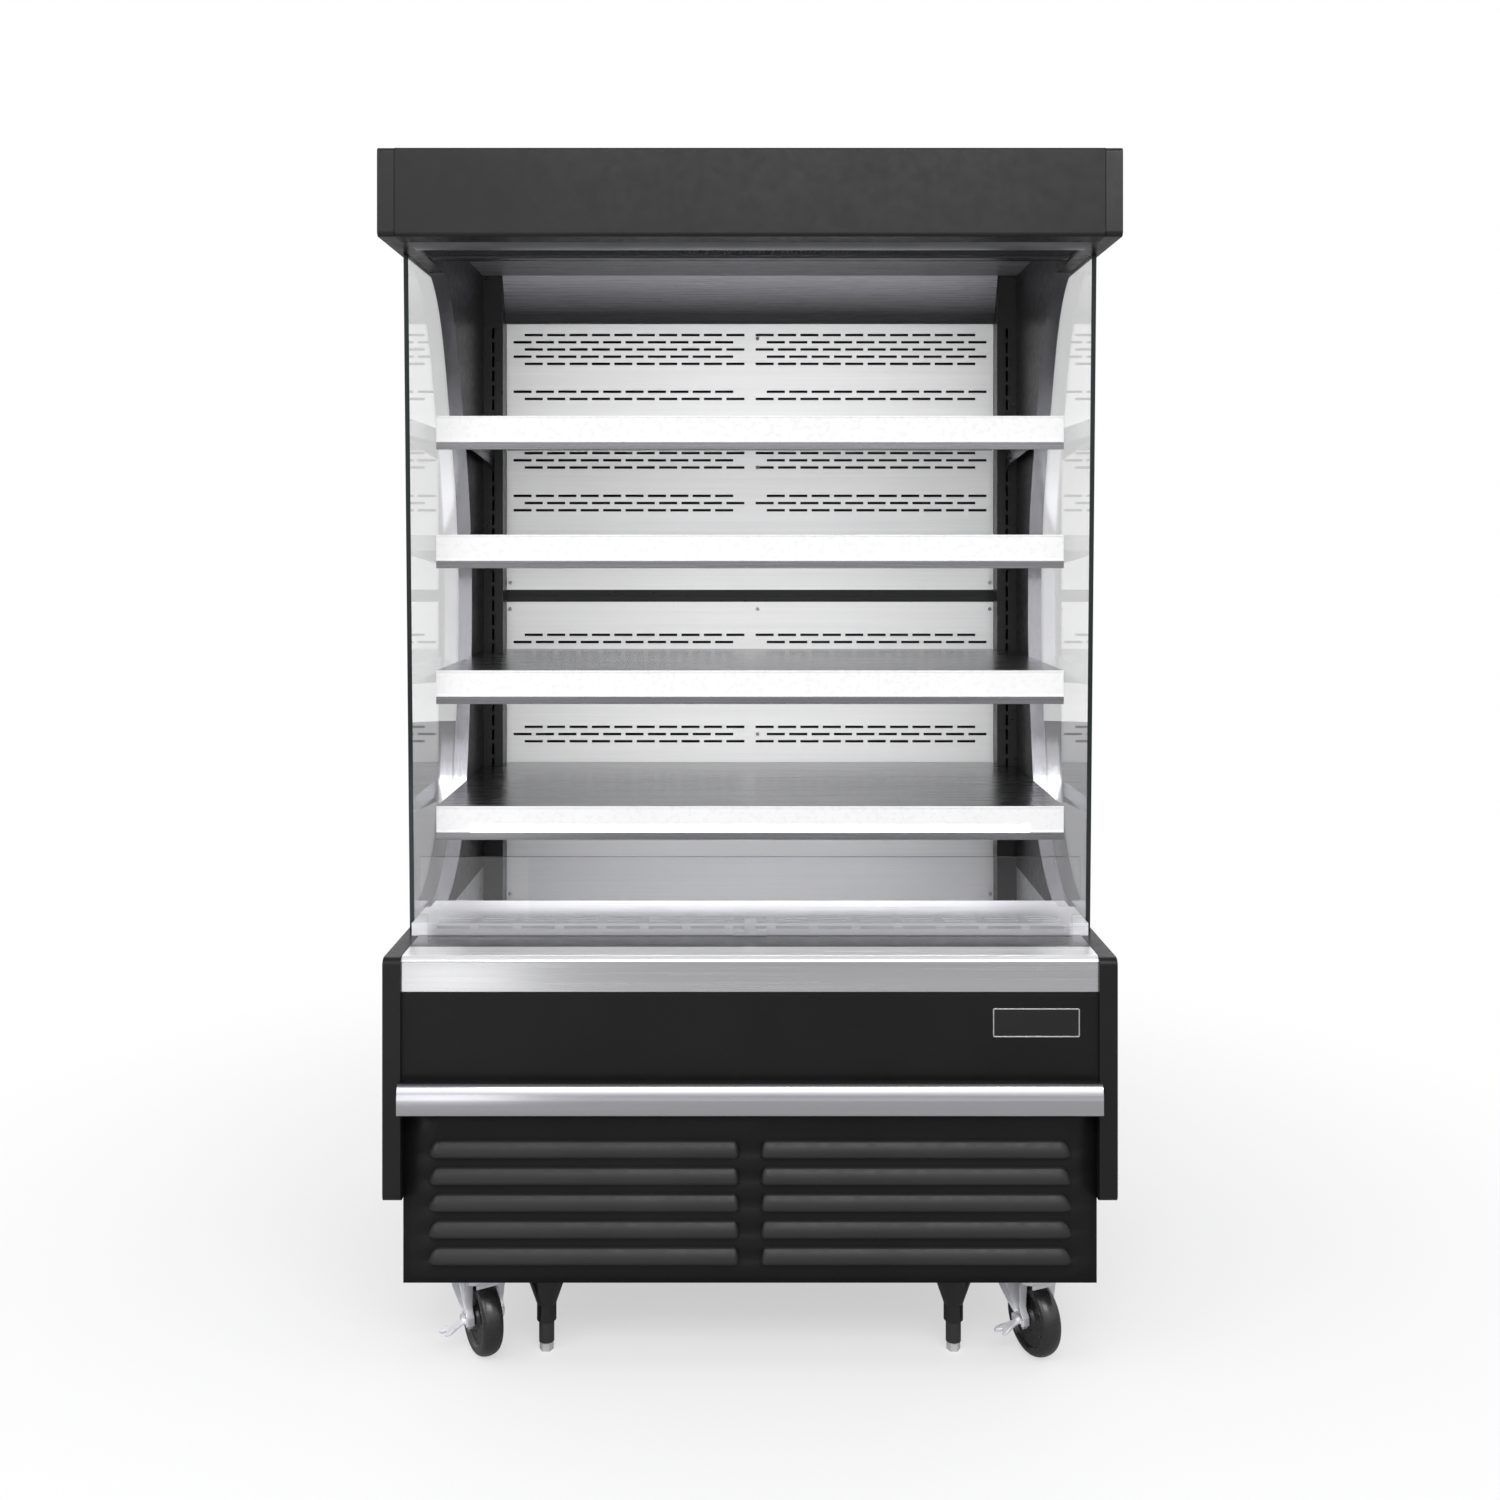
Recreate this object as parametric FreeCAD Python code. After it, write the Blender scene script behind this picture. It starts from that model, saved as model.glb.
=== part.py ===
import FreeCAD, Part
import math
import os
from FreeCAD import Vector

# Open multideck display fridge, in millimetres.
# Origin at the bottom centre of the cabinet, -Y towards the shopper, +Z up.

# ---------------------------------------------------------------- envelope
OVERALL_WIDTH = 1215.0
OVERALL_DEPTH = 889.0
GROUND_CLEARANCE = 155.0      # floor to the underside of the base
MACHINE_HEIGHT = 300.0        # base to the underside of the insulated tub
TUB_HEIGHT = 245.5            # insulated tub, without the nosing sheet
OPENING_HEIGHT = 1185.0       # nosing top to the canopy underside
CANOPY_HEIGHT = 145.0
CANOPY_OVERHANG = 41.0        # canopy front ahead of the base front

# ---------------------------------------------------------------- walls and sheets
SHEET = 1.5
FRAME_PLATE = 3.0
CLADDING_THICKNESS = 30.0
CAP_THICKNESS = 28.0
GLASS_THICKNESS = 8.0
GLASS_INSET = 7.5             # glass outer face inside the overall width
END_WALL_THICKNESS = 27.0
BACK_WALL_THICKNESS = 40.0
TUB_WALL = 40.0
ROOF_THICKNESS = 42.0

# ---------------------------------------------------------------- clearances
EDGE_GAP = 0.5                # sheet edge to the wall beside it
SEAT_GAP = 0.3                # a lifted-off piece on its seat
RUN_GAP = 0.05                # shaft in its bore, on the radius

# ---------------------------------------------------------------- base front
LOUVER_SETBACK = 15.0
CLADDING_PROUD = 6.0
CLADDING_HEIGHT = 403.0
CLADDING_CORNER = 12.0
NOSING_FACE = 58.0
NOSING_RADIUS = 11.0
NOSING_DEPTH = 140.0
NOSING_RETURN = 20.0
RAIL_HEIGHT = 51.0
RAIL_PROUD = 37.0             # bumper rail front ahead of the base front
RAIL_BODY = 24.0
RAIL_ABOVE_TUB = -4.0         # rail bottom measured from the tub underside
RAIL_BRACKETS = 4
RAIL_BRACKET_WIDTH = 60.0
BADGE_WIDTH = 144.0
BADGE_HEIGHT = 48.0
BADGE_RIGHT_MARGIN = 31.5
BADGE_BELOW_NOSING = 27.0

# ---------------------------------------------------------------- louvers
LOUVER_ROWS = 5
LOUVER_HEIGHT = 26.6
LOUVER_PITCH = 44.4
LOUVER_BOTTOM = 34.0          # first louver lip above the base underside
LOUVER_GAP = 40.0             # plain strip between the two groups
LOUVER_MARGIN = 45.5          # louver ends to the panel's side edges
LOUVER_SHOULDER = 0.3         # share of the height where the hood's slope starts
LOUVER_DEPTH = 11.0
LOUVER_END_SLOPE = 20.0
LOUVER_SKIN = 1.5

# ---------------------------------------------------------------- rear
REAR_RECESS = 30.0
REAR_SLOT_ROWS = 7
REAR_SLOT_LENGTH = 420.0
REAR_SLOT_HEIGHT = 9.0
REAR_SLOT_PITCH = 24.0
REAR_SLOT_BOTTOM = 60.0
REAR_SLOT_INNER = 60.0

# ---------------------------------------------------------------- display opening
DUCT_DEPTH = 61.0             # back wall to the front face of the back panel
POST_WIDTH = 41.0             # corner post along the back, from the end wall
POST_STAND = 47.0             # post front ahead of the back panel
POST_WALL = 2.0
LEDGE_RISE = 20.0
LEDGE_DEPTH = 161.0
LEDGE_SLOT_LENGTH = 58.5
DECK_DROP = 122.0             # ledge top to the deck pans
DECK_PAN_FLANGE = 18.0
DECK_PAN_GAP = 1.0
GLASS_FOOT = 165.0            # glass front edge behind the base front, at its foot
GLASS_HEAD = 115.0            # and at its head
WALL_TRIM = 1.5
# Front edge of the end wall: distance behind the base front, share of the opening height.
WALL_FOOT = 262.0
WALL_HEAD = 288.0
WALL_CURVE = [
    (325.0, 0.0135), (445.0, 0.073), (528.0, 0.228), (567.0, 0.438), (540.0, 0.65), (463.0, 0.814),
    (358.0, 0.964)]

# ---------------------------------------------------------------- back panels
CHANNEL_RISE = 557.0          # nosing top to the dark channel between the panels
CHANNEL_HEIGHT = 26.0
CHANNEL_SETBACK = 5.0
CHANNEL_RIB = 3.0
PANEL_SLOT_HEIGHT = 5.4
PANEL_SLOT_WEB = 9.2          # metal between two slots of a row
PANEL_SLOT_EDGE = 5.9         # last slot to the corner post
PANEL_SLOTS = 10
PANEL_ROW_PITCH = 15.5
PANEL_SLOT_INNER = 12.0
# Each group of rows: distance down to its first row, number of rows, whether the first row is shifted.
UPPER_DROPS = [54.0, 176.0, 308.0, 400.0]
UPPER_COUNTS = [5, 2, 3, 3]
UPPER_SHIFTED = [False, True, False, True]
LOWER_DROPS = [71.0, 269.0]
LOWER_COUNTS = [2, 3]
LOWER_SHIFTED = [False, False]

# ---------------------------------------------------------------- shelves
SHELF_STEPS = [23, 16, 8, 0]  # post slots above the lowest shelf, from the top shelf down
LOWEST_SHELF = 213.0          # lowest shelf top above the nosing
POST_SLOT_PITCH = 30.4
POST_SLOT_HEIGHT = 22.0
POST_SLOT_WIDTH = 5.0
POST_SLOTS = 34
SHELF_FRONT = 204.0           # ticket strip face behind the base front
SHELF_SIDE_GAP = 3.0
SHELF_BACK_GAP = 5.0
SHELF_NOTCH_GAP = 4.0
STRIP_HEIGHT = 47.0
STRIP_THICKNESS = 3.0
LIP_HEIGHT = 13.0
SHELF_SIDE_FLANGE = 30.0
BRACKET_THICKNESS = 3.0
BRACKET_FRONT_HEIGHT = 28.0
BRACKET_BACK_HEIGHT = 62.0
BRACKET_FRONT_GAP = 30.0
TAB_HEIGHT = 8.0
TAB_LENGTH = 12.0

# ---------------------------------------------------------------- canopy
FASCIA_FLANGE = 51.0          # lower return of the fascia
FASCIA_TOP_FLANGE = 25.0
FASCIA_RADIUS = 6.0
CAP_RADIUS = 8.0
DUCT_CEILING = 64.0           # canopy underside to the ceiling sheet
PLENUM_DEPTH = 132.0          # rear face of the discharge plenum behind the base front
CEILING_BEND = 57.0           # where the ceiling turns down, ahead of the back panel
CEILING_END = 12.0            # its lower edge, ahead of the back panel
CEILING_DROP = 96.0
LAMP_WIDTH = 62.0
LAMP_DEPTH = 18.0
LAMP_BULGE = 6.0
GRILLE_DEPTH = 18.0
GRILLE_COLUMNS = 32
GRILLE_ROWS = 2
GRILLE_WEB = 3.0

# ---------------------------------------------------------------- night curtain
CASSETTE_DEPTH = 60.0
CASSETTE_WALL = 1.2
CASSETTE_LIFT = 2.0           # cassette bottom above the canopy underside
CASSETTE_END = 3.0
ROLL_RADIUS = 19.5
ROLL_PIN_RADIUS = 5.0
ROLL_END_GAP = 2.0
BAR_DEPTH = 20.0
BAR_HEIGHT = 14.0
BAR_SETBACK = 6.0             # bar behind the cassette's front wall
BAR_ROUND = 3.5
BAR_END_GAP = 4.0
CATCH_WIDTH = 20.0
CATCH_HEIGHT = 30.0
CATCH_THICKNESS = 5.0
CATCH_FOOT_WIDTH = 58.0
CATCH_FOOT_HEIGHT = 7.0

# ---------------------------------------------------------------- front guard
GUARD_SIDE_GAP = 2.5
GUARD_HEIGHT = 138.0
GUARD_THICKNESS = 5.0
GUARD_NOTCH_HEIGHT = 38.0
GUARD_NOTCH_WIDTH = 14.0

# ---------------------------------------------------------------- casters and legs
CASTER_INSET = 103.5          # swivel axis inside the base's side
CASTER_FRONT = 115.0          # swivel axis behind the base front
CASTER_BACK = 110.0           # swivel axis ahead of the back
CASTER_PLATE = 5.0
CASTER_PLATE_X = 100.0
CASTER_PLATE_Y = 85.0
WHEEL_RADIUS = 63.5
WHEEL_WIDTH = 36.0
WHEEL_ROUND = 7.0
WHEEL_HUB_RADIUS = 22.0
WHEEL_TRAIL = 32.0
# Direction of each trail in plan, degrees from +X.
CASTER_HEADING = {"front_left": -60.0, "front_right": -67.0, "rear_left": 64.0, "rear_right": 58.0}
AXLE_RADIUS = 5.0
FORK_HEAD_RADIUS = 36.0
FORK_HEAD_HEIGHT = 12.0
FORK_PLATE = 3.0
FORK_SIDE_GAP = 2.0
FORK_CHEEK_FOOT = 12.0        # half length of a cheek round the axle
FORK_CHEEK_DROP = 13.0        # cheek's lower end below the axle
FORK_CHEEK_BACK = 28.8
FORK_CHEEK_FRONT = 32.4
KINGPIN_RADIUS = 8.0
AXLE_NUT_RADIUS = 9.0
AXLE_NUT_HEIGHT = 7.0
LEVER_LENGTH = 46.0
LEVER_WIDTH = 26.0
LEVER_THICKNESS = 3.0
LEVER_DROOP = 18.0            # degrees below level
# Lever tab's corners: shares of its width and of its length.
LEVER_OUTLINE = [(0.0, 0.0), (1.0, 0.0), (0.9, 0.55), (0.65, 1.0), (0.2, 1.0), (0.1, 0.4)]
LEVER_BARREL_RADIUS = 5.0
LEVER_PIN_RADIUS = 2.5
LEG_INSET = 227.5             # leg axis inside the base's side
LEG_FRONT = 100.0
LEG_CONE_HEIGHT = 69.0
LEG_CONE_TOP_RADIUS = 41.0
LEG_FLANGE_HEIGHT = 6.0
LEG_SOCKET_RADIUS = 16.7
LEG_SOCKET_END = 52.0         # socket's lower end above the floor
LEG_STEM_RADIUS = 13.1
LEG_TIP_RADIUS = 12.0
LEG_TIP_HEIGHT = 15.0
LEG_STEM_IN_SOCKET = 40.0
LEG_TRAVEL = 20.0

# ---------------------------------------------------------------- machinery
COIL_X = 40.0                 # condenser's right end
COIL_LENGTH = 480.0
COIL_HEIGHT = 230.0
COIL_DEPTH = 44.0
COIL_FRONT = 60.0             # condenser behind the base front
COIL_LIFT = 6.0
COIL_ROWS = 6
TUBE_STAND = 14.4             # coil tube ends beyond the fins
BEND_STAND = 19.2             # return bends beyond the fins
SHROUD_DEPTH = 70.0
SHROUD_WALL = 2.0
FAN_RADIUS = 105.0
FAN_TIP_GAP = 6.0
FAN_HUB_RADIUS = 26.0
FAN_HUB_HEIGHT = 26.0
FAN_BLADES = 5
FAN_BLADE_THICKNESS = 2.0
FAN_BLADE_PITCH = 28.0
MOTOR_RADIUS = 42.0
MOTOR_LENGTH = 62.0
MOTOR_SHAFT_RADIUS = 4.0
SPIDER_WIDTH = 12.0
COMPRESSOR_X = 190.0
COMPRESSOR_BACK = 430.0       # compressor axis behind the base front
COMPRESSOR_RADIUS = 82.0
COMPRESSOR_HEIGHT = 190.0
COMPRESSOR_FEET = 22.0
FOOT_RADIUS = 12.3
FOOT_SPREAD = 65.6            # rubber feet from the compressor's axis, along X and Y
TERMINAL_REACH = 106.6        # terminal cover ahead of the compressor's axis
TERMINAL_LOW = 49.2
TERMINAL_HIGH = 123.0
RECEIVER_RADIUS = 45.0
RECEIVER_LENGTH = 210.0
RECEIVER_LIFT = 54.0          # receiver's axis above the machine floor
EVAPORATOR_LENGTH = 860.0
EVAPORATOR_HEIGHT = 86.0
EVAPORATOR_DEPTH = 180.0
EVAPORATOR_ROWS = 4
EVAPORATOR_BACK = 90.0        # evaporator's rear face ahead of the back wall
BLOWER_RADIUS = 34.0
BLOWER_BLADES = 18
BLOWER_BLADE = 2.0
BLOWER_GAP = 70.0             # blower axis ahead of the evaporator
BEARING_WIDTH = 10.0
CONTROL_WIDTH = 220.0
CONTROL_HEIGHT = 120.0
CONTROL_DEPTH = 90.0
CONTROL_X = 330.0
CONTROL_LIFT = 120.0
SWITCH_RADIUS = 9.0
SWITCH_TRAVEL = 3.0
SWITCH_STAND = 5.0
GLAND_RADIUS = 11.0
GLAND_BORE = 4.5
GLAND_LENGTH = 22.0
PIPE_LIQUID = 4.8
PIPE_SUCTION = 8.0
PIPE_BEND = 3.0               # bend radius in pipe radii
PAN_TRAY_HEIGHT = 30.0
PAN_TRAY_LENGTH = 450.0
PAN_TRAY_DEPTH = 215.0
PAN_TRAY_MARGIN = 60.0
SCREW_RADIUS = 4.0
SCREW_HEIGHT = 1.6
SCREW_OFFSET = 16.0

# ---------------------------------------------------------------- stations worked out
X_OUT = OVERALL_WIDTH / 2.0
X_BODY = X_OUT - CLADDING_THICKNESS
X_SKIN = X_BODY - SHEET
X_GLASS_OUT = X_OUT - GLASS_INSET
X_GLASS_IN = X_GLASS_OUT - GLASS_THICKNESS
X_WALL = X_GLASS_IN - END_WALL_THICKNESS
X_CAP = X_OUT - CAP_THICKNESS
POST_INNER = X_WALL - POST_WIDTH
PANEL_SLOT_PITCH = (POST_INNER - PANEL_SLOT_INNER - PANEL_SLOT_EDGE) / (PANEL_SLOTS + 0.5)
PANEL_SLOT_LENGTH = PANEL_SLOT_PITCH - PANEL_SLOT_WEB
LOUVER_LENGTH = X_BODY - LOUVER_MARGIN - LOUVER_GAP / 2.0
CASTER_X = X_BODY - CASTER_INSET
LEG_X = X_BODY - LEG_INSET
Y_FRONT = -OVERALL_DEPTH / 2.0
Y_BACK = OVERALL_DEPTH / 2.0
Y_BASE = Y_FRONT + CANOPY_OVERHANG
Y_WALL = Y_BACK - BACK_WALL_THICKNESS
Y_PANEL = Y_WALL - DUCT_DEPTH
Y_POST = Y_PANEL - POST_STAND
Y_REAR = Y_BACK - REAR_RECESS
Y_LOUVER = Y_BASE + LOUVER_SETBACK
Y_NOSE_BACK = Y_BASE + NOSING_DEPTH
Y_LEDGE_WIDE = Y_BASE + WALL_FOOT
Y_LEDGE_BACK = Y_NOSE_BACK + LEDGE_DEPTH
Y_PLENUM = Y_BASE + PLENUM_DEPTH
Y_LAMP = Y_FRONT + FASCIA_FLANGE
Y_BAR = Y_PLENUM + SHEET + CASSETTE_WALL + BAR_SETBACK
Z_BASE = GROUND_CLEARANCE
Z_TUB = Z_BASE + MACHINE_HEIGHT
Z_RIM = Z_TUB + TUB_HEIGHT
Z_NOSE = Z_RIM + SHEET
Z_LEDGE = Z_NOSE + LEDGE_RISE
Z_DECK = Z_LEDGE - DECK_DROP
Z_CANOPY = Z_NOSE + OPENING_HEIGHT
Z_TOP = Z_CANOPY + CANOPY_HEIGHT
Z_ROOF = Z_TOP - ROOF_THICKNESS
Z_CEILING = Z_CANOPY + DUCT_CEILING
Z_CHANNEL = Z_NOSE + CHANNEL_RISE
Z_PANEL_TOP = Z_CEILING - CEILING_DROP + CHANNEL_HEIGHT / 2.0


# ---------------------------------------------------------------- helpers
def box(x0, x1, y0, y1, z0, z1):
    """Block between two corners."""
    return Part.makeBox(x1 - x0, y1 - y0, z1 - z0, Vector(x0, y0, z0))


def cylinder(base, axis, radius, length):
    """Round bar from base along axis."""
    return Part.makeCylinder(radius, length, base, axis)


def both_sides(shape):
    """The shape and its mirror image across the middle of the cabinet."""
    return [shape, shape.mirror(Vector(0, 0, 0), Vector(1, 0, 0))]


def group(shapes):
    """Separate solids kept together in one node."""
    return Part.makeCompound(shapes)


def fuse(shapes):
    """One solid from shapes that meet."""
    return shapes[0].multiFuse(shapes[1:]).removeSplitter()


def cut(shape, tools):
    """The shape with holes where the tools are."""
    return shape.cut(Part.makeCompound(tools))


def extrude_yz(points, x0, x1):
    """Closed outline of (y, z) points, extruded along X."""
    corners = [Vector(x0, y, z) for y, z in points]
    face = Part.Face(Part.makePolygon(corners + corners[:1]))
    return face.extrude(Vector(x1 - x0, 0, 0))


def extrude_xy(points, z0, z1):
    """Closed outline of (x, y) points, extruded along Z."""
    corners = [Vector(x, y, z0) for x, y in points]
    face = Part.Face(Part.makePolygon(corners + corners[:1]))
    return face.extrude(Vector(0, 0, z1 - z0))


def extrude_xz(points, y0, y1):
    """Closed outline of (x, z) points, extruded along Y."""
    corners = [Vector(x, y0, z) for x, z in points]
    face = Part.Face(Part.makePolygon(corners + corners[:1]))
    return face.extrude(Vector(0, y1 - y0, 0))


def round_edges(shape, radius, chosen):
    """Fillet the edges for which chosen(edge) is true."""
    return shape.makeFillet(radius, [edge for edge in shape.Edges if chosen(edge)])


def runs_along(edge, axis):
    """True for a straight edge along the named axis."""
    span = edge.BoundBox
    lengths = {"x": span.XLength, "y": span.YLength, "z": span.ZLength}
    return lengths[axis] > 0.99 * edge.Length and sum(lengths.values()) < 1.01 * edge.Length


def edge_at(edge, axis, **place):
    """True for a straight edge along axis whose middle lies at the given coordinates."""
    middle = edge.BoundBox.Center
    near = all(abs(getattr(middle, name) - value) < 0.01 for name, value in place.items())
    return runs_along(edge, axis) and near


def pipe(points, radius):
    """Round bar along straight runs joined by tangent bends."""
    bend = PIPE_BEND * radius
    corners = [Vector(*point) for point in points]
    edges = []
    start = corners[0]
    for before, corner, after in zip(corners, corners[1:], corners[2:]):
        inward = (before - corner).normalize()
        outward = (after - corner).normalize()
        half = math.acos(max(-1.0, min(1.0, inward.dot(outward)))) / 2.0
        run = bend / math.tan(half)
        first = corner + inward * run
        last = corner + outward * run
        middle = (inward + outward).normalize()
        depth = bend / math.sin(half) - bend
        edges.append(Part.LineSegment(start, first).toShape())
        edges.append(Part.Arc(first, corner + middle * depth, last).toShape())
        start = last
    edges.append(Part.LineSegment(start, corners[-1]).toShape())
    heading = corners[1] - corners[0]
    profile = Part.Wire(Part.makeCircle(radius, corners[0], heading))
    return Part.Wire(edges).makePipeShell([profile], True, False)


# ---------------------------------------------------------------- casters and legs
def caster_places():
    """Name, X and Y of each swivel axis."""
    front = Y_BASE + CASTER_FRONT
    back = Y_BACK - CASTER_BACK
    return {
        "front_left": (-CASTER_X, front),
        "front_right": (CASTER_X, front),
        "rear_left": (-CASTER_X, back),
        "rear_right": (CASTER_X, back),
    }


def at_caster(shape, name):
    """Turn a shape made with its trail along +X to the caster's heading and place."""
    x, y = caster_places()[name]
    shape.rotate(Vector(0, 0, 0), Vector(0, 0, 1), CASTER_HEADING[name])
    shape.translate(Vector(x, y, 0))
    return shape


def caster_plate(place):
    """Top plate with the kingpin that the fork turns on."""
    x, y = place
    z = Z_BASE - CASTER_PLATE
    half_x = CASTER_PLATE_X / 2.0
    half_y = CASTER_PLATE_Y / 2.0
    plate = box(x - half_x, x + half_x, y - half_y, y + half_y, z, Z_BASE)
    pin_length = FORK_HEAD_HEIGHT + SEAT_GAP
    pin = cylinder(Vector(x, y, z - pin_length), Vector(0, 0, 1), KINGPIN_RADIUS, pin_length)
    return fuse([plate, pin])


def fork_top():
    return Z_BASE - CASTER_PLATE - SEAT_GAP


def fork_side(sign):
    """One cheek of the fork, from the head down to the axle."""
    inner = WHEEL_WIDTH / 2.0 + FORK_SIDE_GAP
    top = fork_top()
    shoulder = top - 2.0 * FORK_HEAD_HEIGHT
    bottom = WHEEL_RADIUS - FORK_CHEEK_DROP
    outline = [
        (-FORK_CHEEK_BACK, top),
        (-FORK_CHEEK_BACK, shoulder),
        (WHEEL_TRAIL - FORK_CHEEK_FOOT, bottom + AXLE_RADIUS),
        (WHEEL_TRAIL - FORK_CHEEK_FOOT / 2.0, bottom),
        (WHEEL_TRAIL + FORK_CHEEK_FOOT / 2.0, bottom),
        (WHEEL_TRAIL + FORK_CHEEK_FOOT, bottom + AXLE_RADIUS),
        (FORK_CHEEK_FRONT, shoulder),
        (FORK_CHEEK_FRONT, top),
    ]
    if sign > 0:
        return extrude_xz(outline, inner, inner + FORK_PLATE)
    return extrude_xz(outline, -inner - FORK_PLATE, -inner)


def caster_fork(name, braked):
    """Swivel fork with its axle; the lever side carries a pin for the brake lever."""
    top = fork_top()
    up = Vector(0, 0, 1)
    head = cylinder(Vector(0, 0, top - FORK_HEAD_HEIGHT), up, FORK_HEAD_RADIUS, FORK_HEAD_HEIGHT)
    reach = WHEEL_WIDTH / 2.0 + FORK_SIDE_GAP + FORK_PLATE
    axle = cylinder(Vector(WHEEL_TRAIL, -reach, WHEEL_RADIUS), Vector(0, 1, 0), AXLE_RADIUS, 2.0 * reach)
    nut_seat = Vector(WHEEL_TRAIL, reach, WHEEL_RADIUS)
    nut = cylinder(nut_seat, Vector(0, 1, 0), AXLE_NUT_RADIUS, AXLE_NUT_HEIGHT)
    pieces = [head, fork_side(1), fork_side(-1), axle, nut]
    if braked:
        pin_y = -reach - LEVER_BARREL_RADIUS - FORK_SIDE_GAP
        half = LEVER_WIDTH / 2.0
        ear_x = WHEEL_TRAIL - half - SEAT_GAP - FORK_PLATE
        pin = cylinder(
            Vector(ear_x, pin_y, WHEEL_RADIUS), Vector(1, 0, 0), LEVER_PIN_RADIUS,
            LEVER_WIDTH + 2.0 * (SEAT_GAP + FORK_PLATE))
        pieces.append(pin)
        for start in (ear_x, WHEEL_TRAIL + half + SEAT_GAP):
            pieces.append(box(
                start, start + FORK_PLATE, pin_y - LEVER_BARREL_RADIUS, -reach,
                WHEEL_RADIUS - LEVER_BARREL_RADIUS, WHEEL_RADIUS + LEVER_BARREL_RADIUS))
    bore = cylinder(Vector(0, 0, top - FORK_HEAD_HEIGHT), up, KINGPIN_RADIUS + RUN_GAP, FORK_HEAD_HEIGHT)
    shape = fuse(pieces).cut(bore)
    return at_caster(shape, name)


def caster_wheel(name):
    """Tread and hub, bored for the axle."""
    half = WHEEL_WIDTH / 2.0
    along = Vector(0, 1, 0)
    wheel = cylinder(Vector(WHEEL_TRAIL, -half, WHEEL_RADIUS), along, WHEEL_RADIUS, WHEEL_WIDTH)
    wheel = round_edges(
        wheel, WHEEL_ROUND, lambda e: e.Closed and abs(e.BoundBox.ZLength - 2.0 * WHEEL_RADIUS) < 0.01)
    recess = WHEEL_ROUND
    hub = [wheel]
    for y in (-half, half - recess):
        ring = cylinder(Vector(WHEEL_TRAIL, y, WHEEL_RADIUS), along, WHEEL_RADIUS - 2.0 * WHEEL_ROUND, recess)
        boss = cylinder(Vector(WHEEL_TRAIL, y, WHEEL_RADIUS), along, WHEEL_HUB_RADIUS, recess)
        hub.append(ring.cut(boss))
    wheel = cut(wheel, hub[1:])
    wheel = wheel.cut(cylinder(
        Vector(WHEEL_TRAIL, -half, WHEEL_RADIUS), along, AXLE_RADIUS + RUN_GAP, WHEEL_WIDTH))
    return at_caster(wheel, name)


def brake_lever(name):
    """Foot tab on a barrel that turns on the fork's pin."""
    reach = WHEEL_WIDTH / 2.0 + FORK_SIDE_GAP + FORK_PLATE
    pin_y = -reach - LEVER_BARREL_RADIUS - FORK_SIDE_GAP
    half = LEVER_WIDTH / 2.0
    start = WHEEL_TRAIL - half
    barrel = cylinder(Vector(start, pin_y, WHEEL_RADIUS), Vector(1, 0, 0), LEVER_BARREL_RADIUS, LEVER_WIDTH)
    outline = [
        (start + across * LEVER_WIDTH, pin_y - along * LEVER_LENGTH) for across, along in LEVER_OUTLINE]
    tab = extrude_xy(outline, WHEEL_RADIUS - LEVER_THICKNESS / 2.0, WHEEL_RADIUS + LEVER_THICKNESS / 2.0)
    tab.rotate(Vector(WHEEL_TRAIL, pin_y, WHEEL_RADIUS), Vector(1, 0, 0), LEVER_DROOP)
    bore = cylinder(
        Vector(start, pin_y, WHEEL_RADIUS), Vector(1, 0, 0), LEVER_PIN_RADIUS + RUN_GAP, LEVER_WIDTH)
    return at_caster(fuse([barrel, tab]).cut(bore), name)


def leg_places():
    """X and Y of the two levelling legs behind the front edge."""
    y = Y_BASE + LEG_FRONT
    return {"left": (-LEG_X, y), "right": (LEG_X, y)}


def leg_socket(place):
    """Cone and sleeve that guide a levelling foot."""
    x, y = place
    up = Vector(0, 0, 1)
    cone_bottom = Z_BASE - LEG_FLANGE_HEIGHT - LEG_CONE_HEIGHT
    flange = cylinder(Vector(x, y, Z_BASE - LEG_FLANGE_HEIGHT), up, LEG_CONE_TOP_RADIUS, LEG_FLANGE_HEIGHT)
    start = Vector(x, y, cone_bottom)
    cone = Part.makeCone(LEG_SOCKET_RADIUS, LEG_CONE_TOP_RADIUS, LEG_CONE_HEIGHT, start, up)
    sleeve = cylinder(Vector(x, y, LEG_SOCKET_END), up, LEG_SOCKET_RADIUS, cone_bottom - LEG_SOCKET_END)
    bore_depth = LEG_STEM_IN_SOCKET + LEG_TRAVEL + SEAT_GAP
    bore = cylinder(Vector(x, y, LEG_SOCKET_END), up, LEG_STEM_RADIUS + RUN_GAP, bore_depth)
    return fuse([flange, cone, sleeve]).cut(bore)


def leg_foot(place):
    """Threaded stem with its hexagonal tip on the floor."""
    x, y = place
    corners = []
    for k in range(6):
        angle = math.radians(60 * k)
        corners.append((x + LEG_TIP_RADIUS * math.cos(angle), y + LEG_TIP_RADIUS * math.sin(angle)))
    tip = extrude_xy(corners, 0.0, LEG_TIP_HEIGHT)
    length = LEG_SOCKET_END + LEG_STEM_IN_SOCKET - LEG_TIP_HEIGHT
    stem = cylinder(Vector(x, y, LEG_TIP_HEIGHT), Vector(0, 0, 1), LEG_STEM_RADIUS, length)
    return fuse([tip, stem])


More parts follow.
